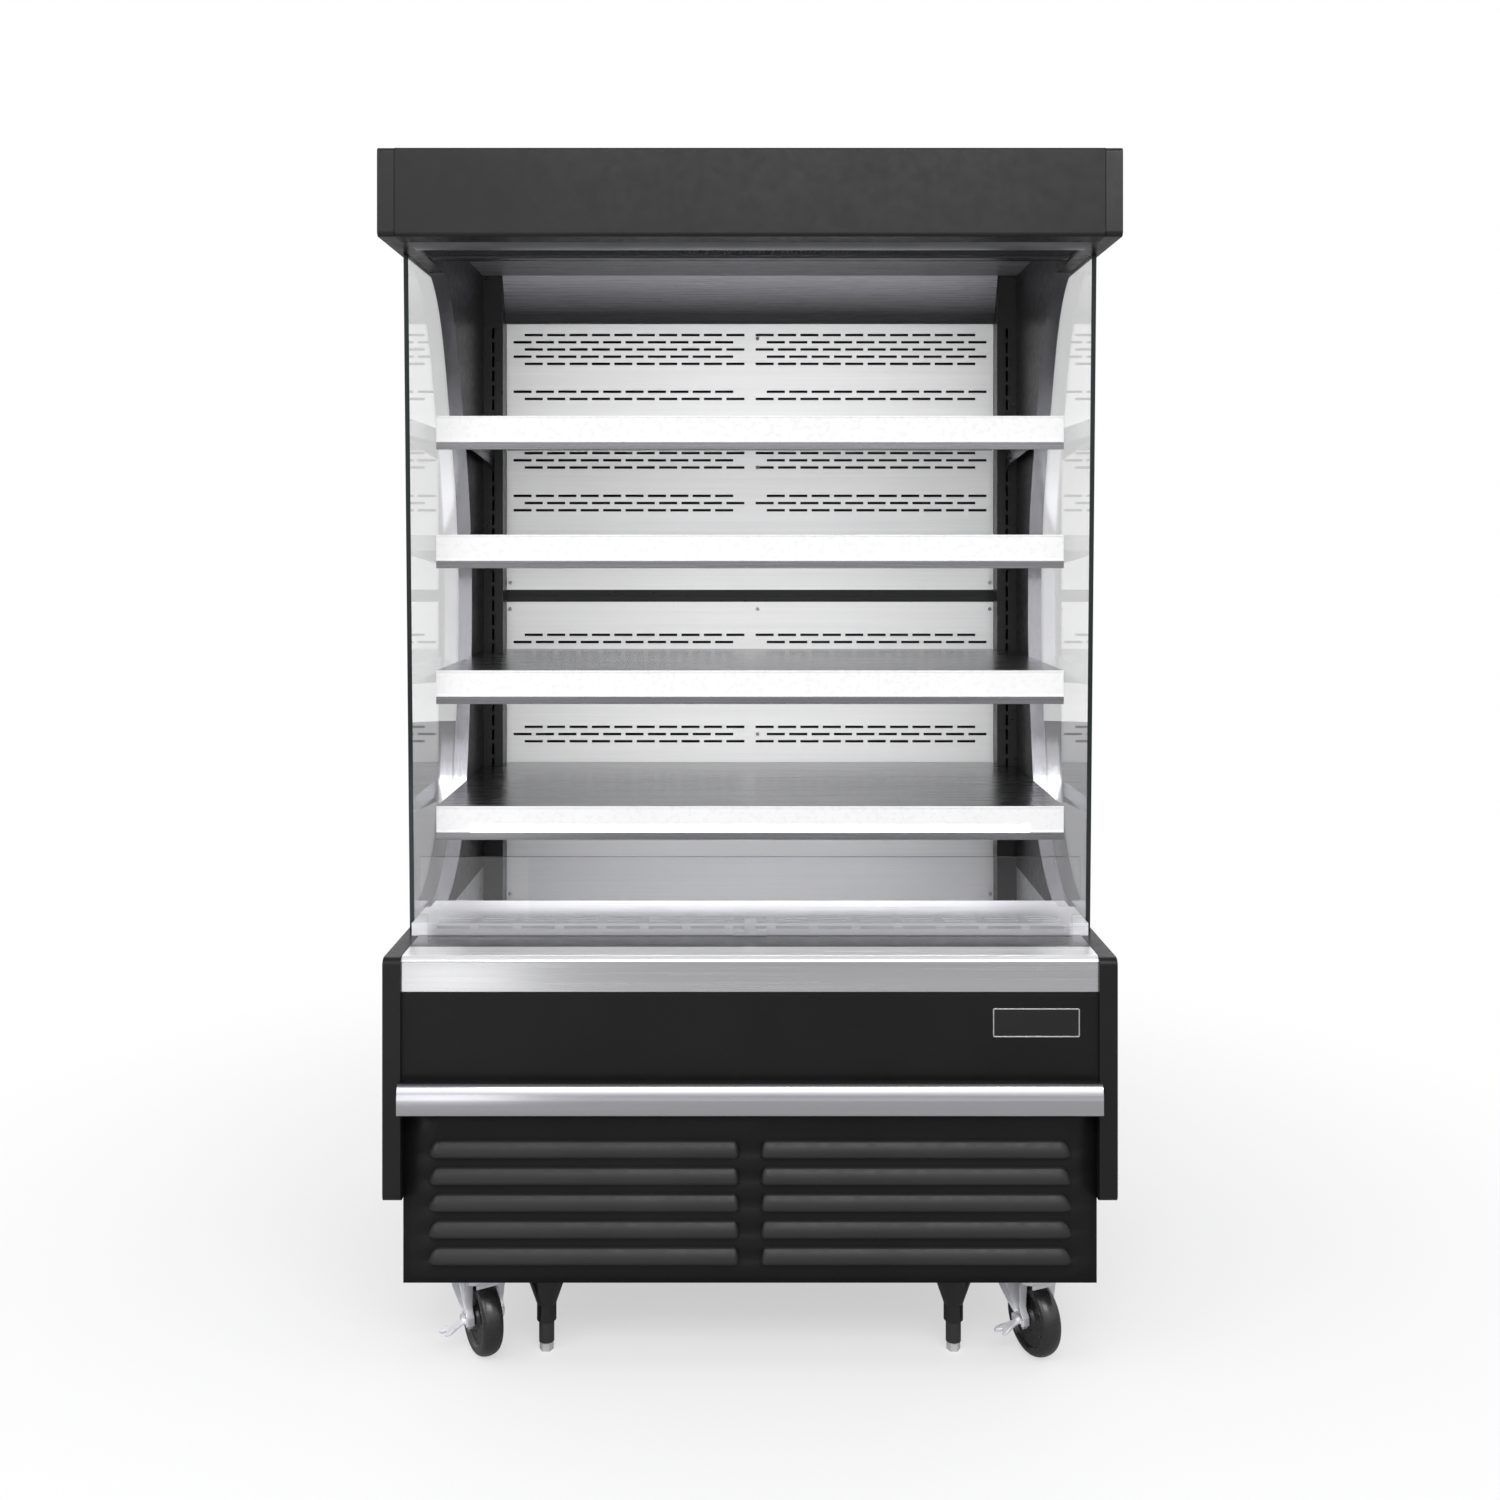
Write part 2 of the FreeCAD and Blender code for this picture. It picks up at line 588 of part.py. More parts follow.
# ---------------------------------------------------------------- base
def base_frame():
    """Welded floor pan with caster plates and leg sockets under it, and the evaporation tray on it."""
    outer = box(-X_SKIN, X_SKIN, Y_LOUVER + SHEET, Y_REAR - SHEET, Z_BASE, Z_BASE + LOUVER_BOTTOM)
    inner = box(
        -X_SKIN + FRAME_PLATE, X_SKIN - FRAME_PLATE,
        Y_LOUVER + SHEET + FRAME_PLATE, Y_REAR - SHEET - FRAME_PLATE,
        Z_BASE + FRAME_PLATE, Z_BASE + LOUVER_BOTTOM)
    pieces = [outer.cut(inner), condensate_pan()]
    pieces += [caster_plate(place) for place in caster_places().values()]
    pieces += [leg_socket(place) for place in leg_places().values()]
    return group(pieces)


def side_skins():
    """Painted side sheets of the lower body."""
    skin = box(X_SKIN, X_BODY, Y_LOUVER + SHEET, Y_BACK, Z_BASE, Z_RIM)
    return group(both_sides(skin))


def cladding():
    """Side cladding with rounded corners."""
    front = Y_BASE - CLADDING_PROUD
    bottom = Z_RIM - CLADDING_HEIGHT
    side = box(X_BODY, X_OUT, front, Y_BACK, bottom, Z_RIM)
    side = round_edges(side, CLADDING_CORNER, lambda e: edge_at(e, "x", y=front))
    return side


def louver_hood(x0, x1, lip):
    """Pressed hood, open below, with sloping ends; returns the shell and its opening."""
    top = lip + LOUVER_HEIGHT
    back = Y_LOUVER + SHEET
    front = Y_LOUVER - LOUVER_DEPTH

    def wedge(inset):
        profile = [
            (back, lip - inset), (front + inset, lip - inset),
            (front + inset, lip + LOUVER_SHOULDER * LOUVER_HEIGHT - inset),
            (Y_LOUVER, top - inset), (back, top - inset)]
        body = extrude_yz(profile, x0 + inset, x1 - inset)
        plan = [
            (x0 + inset, back), (x0 + inset, Y_LOUVER), (x0 + inset + LOUVER_END_SLOPE, front),
            (x1 - inset - LOUVER_END_SLOPE, front), (x1 - inset, Y_LOUVER), (x1 - inset, back)]
        return body.common(extrude_xy(plan, lip - LOUVER_HEIGHT, top + LOUVER_HEIGHT))

    return wedge(0.0), wedge(LOUVER_SKIN)


def louver_panel():
    """Lower front panel with two groups of louvers."""
    panel = box(-X_BODY, X_BODY, Y_LOUVER, Y_LOUVER + SHEET, Z_BASE, Z_TUB)
    hoods = []
    openings = []
    for row in range(LOUVER_ROWS):
        lip = Z_BASE + LOUVER_BOTTOM + row * LOUVER_PITCH
        for start in (-LOUVER_GAP / 2.0 - LOUVER_LENGTH, LOUVER_GAP / 2.0):
            hood, opening = louver_hood(start, start + LOUVER_LENGTH, lip)
            hoods.append(hood)
            openings.append(opening)
    return cut(fuse([panel] + hoods), openings)


def front_panel():
    """Plain painted panel between the nosing and the louvers."""
    top = Z_NOSE - NOSING_FACE
    return box(-X_BODY, X_BODY, Y_BASE, Y_BASE + SHEET, Z_TUB, top)


def badge_plate():
    """Blank metal plate."""
    right = X_BODY - BADGE_RIGHT_MARGIN
    top = Z_NOSE - NOSING_FACE - BADGE_BELOW_NOSING
    plate = box(right - BADGE_WIDTH, right, Y_BASE - SHEET, Y_BASE, top - BADGE_HEIGHT, top)
    return round_edges(plate, 2.0 * SHEET, lambda e: runs_along(e, "y"))


def bumper_rail():
    """Rounded bumper rail on short brackets."""
    bottom = Z_TUB + RAIL_ABOVE_TUB
    top = bottom + RAIL_HEIGHT
    front = Y_BASE - RAIL_PROUD
    back = front + RAIL_BODY
    middle = (bottom + top) / 2.0
    start = Vector(-X_BODY, back, bottom)
    arc = Part.Arc(
        Vector(-X_BODY, back - RAIL_BODY / 2.0, bottom), Vector(-X_BODY, front, middle),
        Vector(-X_BODY, back - RAIL_BODY / 2.0, top)).toShape()
    corners = [arc.Vertexes[1].Point, Vector(-X_BODY, back, top), start, arc.Vertexes[0].Point]
    lines = [Part.LineSegment(a, b).toShape() for a, b in zip(corners, corners[1:])]
    profile = Part.Face(Part.Wire([arc] + lines))
    rail = profile.extrude(Vector(2.0 * X_BODY, 0, 0))
    brackets = []
    for k in range(RAIL_BRACKETS):
        centre = -X_BODY + (k + 0.5) * 2.0 * X_BODY / RAIL_BRACKETS
        half = RAIL_BRACKET_WIDTH / 2.0
        low = max(Z_TUB, bottom) + SHEET
        brackets.append(box(centre - half, centre + half, back, Y_BASE, low, top - 2.0 * SHEET))
    return group([rail] + brackets)


def deck_nosing():
    """Stainless nosing that wraps over the front rim of the tub."""
    low = Z_NOSE - NOSING_FACE
    sheet = box(-X_BODY, X_BODY, Y_BASE, Y_NOSE_BACK, low, Z_NOSE)
    inner = box(-X_BODY, X_BODY, Y_BASE + SHEET, Y_NOSE_BACK - SHEET, low, Z_RIM)
    sheet = round_edges(sheet, NOSING_RADIUS, lambda e: edge_at(e, "x", y=Y_BASE, z=Z_NOSE))
    inner = round_edges(inner, NOSING_RADIUS - SHEET, lambda e: edge_at(e, "x", y=Y_BASE + SHEET, z=Z_RIM))
    rear = box(-X_BODY, X_BODY, Y_NOSE_BACK - SHEET, Y_NOSE_BACK, low, Z_NOSE - NOSING_RETURN)
    over_rim = both_sides(box(X_WALL, X_BODY, Y_BASE + SHEET + TUB_WALL, Y_NOSE_BACK, low, Z_RIM))
    return cut(sheet, [inner, rear] + over_rim)


def insulated_tub():
    """Foam tub that holds the evaporator under the deck."""
    front = Y_BASE + SHEET
    tub = box(-X_SKIN, X_SKIN, front, Y_BACK, Z_TUB, Z_RIM)
    tub = round_edges(tub, NOSING_RADIUS - SHEET, lambda e: edge_at(e, "x", y=front, z=Z_RIM))
    cavity = box(-X_WALL, X_WALL, front + TUB_WALL, Y_WALL, Z_TUB + TUB_WALL, Z_RIM)
    holes = [
        cylinder(Vector(x, y, Z_TUB), Vector(0, 0, 1), PIPE_SUCTION + EDGE_GAP, TUB_WALL)
        for x, y in pipe_gates()
    ]
    return cut(tub, [cavity] + holes)


def coil_row_y(row):
    """Y of one of the evaporator's four rows of bends."""
    return Y_WALL - EVAPORATOR_BACK - EVAPORATOR_DEPTH + (row + 0.5) * EVAPORATOR_DEPTH / EVAPORATOR_ROWS


def pipe_gates():
    """Where the suction and the liquid line come up through the tub floor."""
    x = EVAPORATOR_LENGTH / 2.0 + BEND_STAND + (PIPE_BEND + 0.5) * PIPE_SUCTION
    return (x, coil_row_y(1)), (x, coil_row_y(2))


def rear_grille():
    """Slotted rear cover of the machine space."""
    sheet = box(-X_SKIN, X_SKIN, Y_REAR - SHEET, Y_REAR, Z_BASE, Z_TUB)
    slots = []
    for row in range(REAR_SLOT_ROWS):
        z = Z_BASE + REAR_SLOT_BOTTOM + row * REAR_SLOT_PITCH
        slots.append(box(
            -REAR_SLOT_INNER - REAR_SLOT_LENGTH, -REAR_SLOT_INNER,
            Y_REAR - SHEET, Y_REAR, z, z + REAR_SLOT_HEIGHT))
    down = Vector(0, -1, 0)
    slots.append(cylinder(Vector(*switch_centre()), down, 1.5 * SWITCH_RADIUS, SHEET))
    slots.append(cylinder(Vector(*gland_centre()), down, 0.8 * GLAND_RADIUS, SHEET))
    return cut(sheet, slots)


# ---------------------------------------------------------------- walls of the opening
def wall_curve():
    """C-shaped front edge of an end wall."""
    points = [(WALL_FOOT, 0.0)] + WALL_CURVE + [(WALL_HEAD, 1.0)]
    height = Z_CANOPY - Z_RIM
    spline = Part.BSplineCurve()
    spline.interpolate([Vector(X_WALL, Y_BASE + y, Z_RIM + share * height) for y, share in points])
    return spline


def end_wall():
    """Insulated end wall with its C-shaped front edge and a tongue into the canopy."""
    edge = wall_curve()
    corners = [
        edge.EndPoint, Vector(X_WALL, Y_WALL, Z_CANOPY), Vector(X_WALL, Y_WALL, Z_RIM), edge.StartPoint]
    lines = [Part.LineSegment(a, b).toShape() for a, b in zip(corners, corners[1:])]
    wall = Part.Face(Part.Wire([edge.toShape()] + lines)).extrude(Vector(END_WALL_THICKNESS, 0, 0))
    tongue = box(X_WALL, X_CAP, Y_LAMP, Y_WALL, Z_CANOPY, Z_ROOF)
    return fuse([wall, tongue])


def end_wall_trims():
    """Bright strips that face the C-shaped edges."""
    back = wall_curve()
    front = Part.OffsetCurve(back, -WALL_TRIM, Vector(1, 0, 0)).toBSpline()
    foot = Part.LineSegment(front.StartPoint, back.StartPoint).toShape()
    head = Part.LineSegment(back.EndPoint, front.EndPoint).toShape()
    band = Part.Face(Part.Wire([back.toShape(), head, front.toShape(), foot]))
    return group(both_sides(band.extrude(Vector(END_WALL_THICKNESS, 0, 0))))


def side_glass():
    """Side pane standing on the cladding, with a leaning front edge."""
    outline = [
        (Y_BASE + GLASS_FOOT, Z_RIM), (Y_BASE + GLASS_HEAD, Z_CANOPY), (Y_BACK, Z_CANOPY), (Y_BACK, Z_RIM)]
    return extrude_yz(outline, X_GLASS_IN, X_GLASS_OUT)


def back_wall():
    """Insulated rear wall from the tub to the roof."""
    lower = box(-X_GLASS_IN, X_GLASS_IN, Y_WALL, Y_BACK, Z_RIM, Z_CANOPY)
    upper = box(-X_CAP, X_CAP, Y_WALL, Y_BACK, Z_CANOPY, Z_ROOF)
    return fuse([lower, upper])


def slot_rows(reference, drops, counts, shifted):
    """Staggered air slots: rows run down from the reference height, on both halves."""
    slots = []
    for drop, rows, first in zip(drops, counts, shifted):
        for row in range(rows):
            z = reference - drop - row * PANEL_ROW_PITCH
            shift = PANEL_SLOT_PITCH / 2.0 if (row + first) % 2 else 0.0
            for k in range(PANEL_SLOTS):
                start = PANEL_SLOT_INNER + shift + k * PANEL_SLOT_PITCH
                slot = box(
                    start, start + PANEL_SLOT_LENGTH, Y_PANEL, Y_PANEL + SHEET,
                    z - PANEL_SLOT_HEIGHT / 2.0, z + PANEL_SLOT_HEIGHT / 2.0)
                slots += both_sides(slot)
    return slots


def upper_back_panel():
    """Slotted stainless panel above the dark channel."""
    half = POST_INNER - EDGE_GAP
    sheet = box(-half, half, Y_PANEL, Y_PANEL + SHEET, Z_CHANNEL + CHANNEL_HEIGHT, Z_PANEL_TOP)
    return cut(sheet, slot_rows(Z_CANOPY, UPPER_DROPS, UPPER_COUNTS, UPPER_SHIFTED))


def lower_back_panel():
    """Slotted stainless panel below the channel, with a ledge for the deck pans."""
    half = POST_INNER - EDGE_GAP
    seat = Z_DECK - SHEET - SEAT_GAP
    sheet = box(-half, half, Y_PANEL, Y_PANEL + SHEET, seat - SHEET, Z_CHANNEL)
    ledge = box(-half, half, Y_PANEL - NOSING_RETURN, Y_PANEL, seat - SHEET, seat)
    return cut(fuse([sheet, ledge]), slot_rows(Z_CHANNEL, LOWER_DROPS, LOWER_COUNTS, LOWER_SHIFTED))


def shelf_tops():
    """Height of each shelf's top, from the top shelf down."""
    return [Z_NOSE + LOWEST_SHELF + step * POST_SLOT_PITCH for step in SHELF_STEPS]


def post_slot_x():
    return (POST_INNER + X_WALL) / 2.0


def post_slot_bottom(top, level):
    """Bottom of the slot that takes a bracket's tab, one pitch lower for each level."""
    return top - SHELF_SIDE_FLANGE - TAB_HEIGHT - level * POST_SLOT_PITCH


def wall_uprights():
    """Slotted corner posts and the dark channel between the back panels."""
    x0 = POST_INNER
    x1 = X_WALL
    bottom = Z_TUB + TUB_WALL
    post = box(x0, x1, Y_POST, Y_WALL, bottom, Z_ROOF)
    hollow = box(x0 + POST_WALL, x1 - POST_WALL, Y_POST + POST_WALL, Y_WALL, bottom, Z_ROOF)
    lowest = shelf_tops()[-1]
    half = POST_SLOT_WIDTH / 2.0
    slots = []
    for k in range(POST_SLOTS):
        z = post_slot_bottom(lowest, 2) + k * POST_SLOT_PITCH
        if z + POST_SLOT_HEIGHT < Z_CANOPY:
            slots.append(box(
                post_slot_x() - half, post_slot_x() + half, Y_POST, Y_POST + POST_WALL,
                z, z + POST_SLOT_HEIGHT))
    post = cut(post, [hollow] + slots)
    front = Y_PANEL + CHANNEL_SETBACK
    channel = box(-x0, x0, front, front + CHANNEL_SETBACK, Z_CHANNEL, Z_CHANNEL + CHANNEL_HEIGHT)
    middle = Z_CHANNEL + CHANNEL_HEIGHT / 2.0
    rib = box(-x0, x0, Y_PANEL + SHEET, front, middle - CHANNEL_RIB / 2.0, middle + CHANNEL_RIB / 2.0)
    return group(both_sides(post) + [fuse([channel, rib])])


# ---------------------------------------------------------------- deck
def return_grille():
    """Raised ledge with the return air slots, behind the nosing."""
    wide = X_GLASS_IN - EDGE_GAP
    narrow = X_WALL - EDGE_GAP
    top = Z_LEDGE - SHEET
    lip = Z_DECK - SHEET - SEAT_GAP
    riser = box(-wide, wide, Y_NOSE_BACK, Y_NOSE_BACK + SHEET, Z_RIM, Z_LEDGE)
    front_plate = box(-wide, wide, Y_NOSE_BACK, Y_LEDGE_WIDE - WALL_TRIM, top, Z_LEDGE)
    rear_plate = box(-narrow, narrow, Y_LEDGE_WIDE - WALL_TRIM - SHEET, Y_LEDGE_BACK, top, Z_LEDGE)
    back = box(-narrow, narrow, Y_LEDGE_BACK - SHEET, Y_LEDGE_BACK, lip - SHEET, Z_LEDGE)
    seat = box(-narrow, narrow, Y_LEDGE_BACK - SHEET, Y_LEDGE_BACK + NOSING_RETURN, lip - SHEET, lip)
    ends = both_sides(box(wide - SHEET, wide, Y_NOSE_BACK, Y_LEDGE_WIDE - WALL_TRIM, Z_RIM, Z_LEDGE))
    ledge = fuse([riser, front_plate, rear_plate, back, seat] + ends)
    slots = []
    length = LEDGE_SLOT_LENGTH
    pitch = length + PANEL_ROW_PITCH
    count = int(2.0 * narrow // pitch)
    for k in range(count):
        start = (k - count / 2.0) * pitch + PANEL_ROW_PITCH / 2.0
        slots.append(box(
            start, start + length, Y_NOSE_BACK, Y_NOSE_BACK + SHEET,
            Z_LEDGE - LEDGE_RISE / 2.0, Z_LEDGE - LEDGE_RISE / 2.0 + PANEL_SLOT_HEIGHT))
        for row in range(3):
            y = Y_NOSE_BACK + (row + 1) * PANEL_ROW_PITCH
            slots.append(box(start, start + length, y, y + PANEL_SLOT_HEIGHT, top, Z_LEDGE))
    return cut(ledge, slots)


def deck_pans():
    """Three lift-out pans; the outer two are notched round the corner posts."""
    y0 = Y_LEDGE_BACK + DECK_PAN_GAP
    y1 = Y_PANEL - DECK_PAN_GAP
    outer = X_WALL - DECK_PAN_GAP
    notch_x = POST_INNER - DECK_PAN_GAP
    notch_y = Y_POST - DECK_PAN_GAP
    third = X_WALL / 3.0
    flange = Z_DECK - DECK_PAN_FLANGE

    def pan(x0, x1, outline):
        plate = extrude_xy(outline, Z_DECK - SHEET, Z_DECK)
        inset = NOSING_RETURN + 2.0 * DECK_PAN_GAP
        flanges = [
            box(x, x + SHEET, y0 + inset, notch_y - inset, flange, Z_DECK - SHEET) for x in (x0, x1 - SHEET)]
        return fuse([plate] + flanges)

    middle_half = third - DECK_PAN_GAP / 2.0
    middle = pan(
        -middle_half, middle_half,
        [(-middle_half, y0), (middle_half, y0), (middle_half, y1), (-middle_half, y1)])
    inner = third + DECK_PAN_GAP / 2.0
    side = pan(
        inner, outer,
        [(inner, y0), (outer, y0), (outer, notch_y), (notch_x, notch_y), (notch_x, y1), (inner, y1)])
    return group([middle] + both_sides(side))


def front_guard():
    """Clear guard standing on the nosing, narrower at its foot."""
    half = X_BODY - GUARD_SIDE_GAP
    foot = half - GUARD_NOTCH_WIDTH
    step = Z_NOSE + GUARD_NOTCH_HEIGHT
    top = Z_NOSE + GUARD_HEIGHT
    outline = [
        (-foot, Z_NOSE), (foot, Z_NOSE), (foot, step), (half, step),
        (half, top), (-half, top), (-half, step), (-foot, step)]
    back = Y_NOSE_BACK - CATCH_THICKNESS - SHEET
    return extrude_xz(outline, back - GUARD_THICKNESS, back)


def curtain_catch():
    """White catch for the night curtain's bar, at the middle of the ledge."""
    back = Y_NOSE_BACK
    front = back - CATCH_THICKNESS
    half = CATCH_WIDTH / 2.0
    foot_half = CATCH_FOOT_WIDTH / 2.0
    foot = box(-foot_half, foot_half, front, back, Z_NOSE, Z_NOSE + CATCH_FOOT_HEIGHT)
    post = box(-half, half, front, back, Z_NOSE, Z_NOSE + CATCH_HEIGHT)
    return fuse([foot, post])


# ---------------------------------------------------------------- canopy
def canopy_fascia():
    """Front sheet of the canopy with its top and bottom returns."""
    outer = box(-X_CAP, X_CAP, Y_FRONT, Y_LAMP, Z_CANOPY, Z_TOP)
    inner = box(-X_CAP, X_CAP, Y_FRONT + SHEET, Y_LAMP, Z_CANOPY + SHEET, Z_TOP - SHEET)
    outer = round_edges(outer, FASCIA_RADIUS, lambda e: edge_at(e, "x", y=Y_FRONT))
    inner = round_edges(inner, FASCIA_RADIUS - SHEET, lambda e: edge_at(e, "x", y=Y_FRONT + SHEET))
    rear = box(-X_CAP, X_CAP, Y_FRONT + FASCIA_TOP_FLANGE, Y_LAMP, Z_TOP - SHEET, Z_TOP)
    return cut(outer, [inner, rear])


def roof_panel():
    """Insulated roof under the fascia's top return."""
    front = Y_FRONT + FASCIA_RADIUS
    low = box(-X_CAP, X_CAP, front, Y_BACK, Z_ROOF, Z_TOP - SHEET)
    high = box(-X_CAP, X_CAP, Y_FRONT + FASCIA_TOP_FLANGE, Y_BACK, Z_TOP - SHEET, Z_TOP)
    return fuse([low, high])


def canopy_cap():
    """End cap of the canopy with rounded front corners."""
    cap = box(X_CAP, X_OUT, Y_FRONT, Y_BACK, Z_CANOPY, Z_TOP)
    return round_edges(cap, CAP_RADIUS, lambda e: edge_at(e, "x", y=Y_FRONT))


def ceiling_panel():
    """Air duct cover: plenum rear, flat ceiling and the sloping part between the posts."""
    half = X_WALL - EDGE_GAP
    between = POST_INNER - EDGE_GAP
    bend = Y_PANEL - CEILING_BEND
    end = Y_PANEL - CEILING_END
    plenum = box(-half, half, Y_PLENUM, Y_PLENUM + SHEET, Z_CANOPY, Z_CEILING + SHEET)
    flat = box(-half, half, Y_PLENUM, bend, Z_CEILING, Z_CEILING + SHEET)
    low = Z_CEILING - CEILING_DROP
    slope = extrude_yz(
        [(bend - SHEET, Z_CEILING), (bend - SHEET, Z_CEILING + SHEET), (bend + SHEET, Z_CEILING + SHEET),
         (end + SHEET, low), (end, low), (bend, Z_CEILING)], -between, between)
    return fuse([plenum, flat, slope])


def discharge_grille():
    """Cold air outlet: a frame of open cells in the canopy underside."""
    half = X_WALL - EDGE_GAP
    y0 = Y_LAMP + LAMP_WIDTH
    y1 = Y_PLENUM
    frame = box(-half, half, y0, y1, Z_CANOPY, Z_CANOPY + GRILLE_DEPTH)
    pitch_x = (2.0 * half - GRILLE_WEB) / GRILLE_COLUMNS
    pitch_y = (y1 - y0 - GRILLE_WEB) / GRILLE_ROWS
    cells = []
    for column in range(GRILLE_COLUMNS):
        for row in range(GRILLE_ROWS):
            x = -half + GRILLE_WEB + column * pitch_x
            y = y0 + GRILLE_WEB + row * pitch_y
            cells.append(box(
                x, x + pitch_x - GRILLE_WEB, y, y + pitch_y - GRILLE_WEB, Z_CANOPY, Z_CANOPY + GRILLE_DEPTH))
    return cut(frame, cells)


def canopy_lamp():
    """Long lamp with a rounded diffuser, let into the canopy underside."""
    half = X_WALL - EDGE_GAP
    y0 = Y_LAMP
    y1 = Y_LAMP + LAMP_WIDTH
    base = box(-half, half, y0, y1, Z_CANOPY, Z_CANOPY + LAMP_DEPTH)
    arc = Part.Arc(
        Vector(-half, y0, Z_CANOPY), Vector(-half, (y0 + y1) / 2.0, Z_CANOPY - LAMP_BULGE),
        Vector(-half, y1, Z_CANOPY)).toShape()
    chord = Part.LineSegment(Vector(-half, y1, Z_CANOPY), Vector(-half, y0, Z_CANOPY)).toShape()
    bulge = Part.Face(Part.Wire([arc, chord])).extrude(Vector(2.0 * half, 0, 0))
    return fuse([base, bulge])


# ---------------------------------------------------------------- night curtain
def cassette_half():
    return X_WALL - EDGE_GAP


def roll_centre():
    """Y and Z of the curtain roller's axis: the curtain drops from the roll's front to the bar."""
    y = Y_BAR + BAR_DEPTH / 2.0 + ROLL_RADIUS
    z = Z_CEILING - CASSETTE_WALL - ROLL_END_GAP - ROLL_RADIUS
    return y, z


def curtain_cassette():
    """Housing under the ceiling, open below for the curtain's bar."""
    half = cassette_half()
    y0 = Y_PLENUM + SHEET
    y1 = y0 + CASSETTE_DEPTH
    z0 = Z_CANOPY + CASSETTE_LIFT
    shell = box(-half, half, y0, y1, z0, Z_CEILING)
    inside = box(
        -half + CASSETTE_END, half - CASSETTE_END, y0 + CASSETTE_WALL, y1 - CASSETTE_WALL,
        z0 + CASSETTE_WALL, Z_CEILING - CASSETTE_WALL)
    mouth = box(
        -half + CASSETTE_END, half - CASSETTE_END, Y_BAR - SEAT_GAP, Y_BAR + BAR_DEPTH + SEAT_GAP,
        z0, z0 + CASSETTE_WALL)
    y, z = roll_centre()
    bore = cylinder(Vector(-half, y, z), Vector(1, 0, 0), ROLL_PIN_RADIUS + RUN_GAP, 2.0 * half)
    return cut(shell, [inside, mouth, bore])


def curtain_roll():
    """Rolled-up curtain on its spring roller."""
    y, z = roll_centre()
    half = cassette_half()
    body = half - CASSETTE_END - ROLL_END_GAP
    along = Vector(1, 0, 0)
    roll = cylinder(Vector(-body, y, z), along, ROLL_RADIUS, 2.0 * body)
    pin = cylinder(Vector(-half, y, z), along, ROLL_PIN_RADIUS, 2.0 * half)
    return fuse([roll, pin])


def curtain_bar():
    """Pull bar at the curtain's free edge, parked in the cassette's mouth."""
    half = cassette_half() - CASSETTE_END - BAR_END_GAP
    z0 = Z_CANOPY + CASSETTE_LIFT - BAR_ROUND - EDGE_GAP
    bar = box(-half, half, Y_BAR, Y_BAR + BAR_DEPTH, z0, z0 + BAR_HEIGHT)
    return round_edges(bar, BAR_ROUND, lambda e: runs_along(e, "x"))


# ---------------------------------------------------------------- shelves
def shelf_pan(top):
    """Stainless shelf with a folded front lip, its two brackets under it."""
    half = X_WALL - SHELF_SIDE_GAP
    front = Y_BASE + SHELF_FRONT + STRIP_THICKNESS
    back = Y_PANEL - SHELF_BACK_GAP
    notch_y = Y_POST - SHELF_NOTCH_GAP
    notch_x = POST_INNER - SHELF_NOTCH_GAP
    outline = [
        (-half, front), (half, front), (half, notch_y), (notch_x, notch_y), (notch_x, back),
        (-notch_x, back), (-notch_x, notch_y), (-half, notch_y)]
    plate = extrude_xy(outline, top - SHEET, top)
    low = top - STRIP_HEIGHT - LIP_HEIGHT
    face = box(-half, half, front, front + SHEET, low, top)
    lip = box(-half, half, Y_BASE + SHELF_FRONT, front + SHEET, low, top - STRIP_HEIGHT)
    flanges = both_sides(box(half - SHEET, half, front, notch_y, top - SHELF_SIDE_FLANGE, top))
    rear = box(-notch_x, notch_x, back - SHEET, back, top - SHELF_SIDE_FLANGE, top)
    pan = fuse([plate, face, lip, rear] + flanges)
    return group([pan] + both_sides(shelf_bracket(top)))


def shelf_bracket(top):
    """Cantilever bracket with two tabs that hook into the post."""
    x0 = post_slot_x() - BRACKET_THICKNESS / 2.0
    x1 = x0 + BRACKET_THICKNESS
    front = Y_BASE + SHELF_FRONT + STRIP_THICKNESS + BRACKET_FRONT_GAP
    back = Y_POST - SEAT_GAP
    under = top - SHEET
    plate = extrude_yz(
        [(front, under), (back, under), (back, under - BRACKET_BACK_HEIGHT - POST_SLOT_PITCH / 2.0),
         (back - POST_SLOT_PITCH, under - BRACKET_BACK_HEIGHT),
         (front, under - BRACKET_FRONT_HEIGHT)], x0, x1)
    tabs = []
    for level in (0, 1):
        z = post_slot_bottom(top, level) + SEAT_GAP
        tabs.append(box(x0, x1, back - TAB_LENGTH, back + TAB_LENGTH, z, z + TAB_HEIGHT))
    return fuse([plate] + tabs)


def ticket_strip(top):
    """White price strip clipped to the shelf's front."""
    half = X_WALL - SHELF_SIDE_GAP
    front = Y_BASE + SHELF_FRONT
    return box(-half, half, front, front + STRIP_THICKNESS, top - STRIP_HEIGHT, top)


# ---------------------------------------------------------------- machinery
def tube_end(x, direction, y, z):
    """Coil tube standing out of the fins at x, towards +X or -X."""
    return cylinder(Vector(x, y, z), Vector(direction, 0, 0), PIPE_LIQUID, TUBE_STAND)


def bend_span(x, direction):
    """Lower and upper X of the plate that joins two tube ends."""
    outer = x + direction * BEND_STAND
    return min(x, outer), max(x, outer)


def condenser_rows():
    """Height of each row of tubes in the condenser."""
    pitch = COIL_HEIGHT / COIL_ROWS
    first = Z_BASE + FRAME_PLATE + COIL_LIFT + pitch / 2.0
    return [first + row * pitch for row in range(COIL_ROWS)]


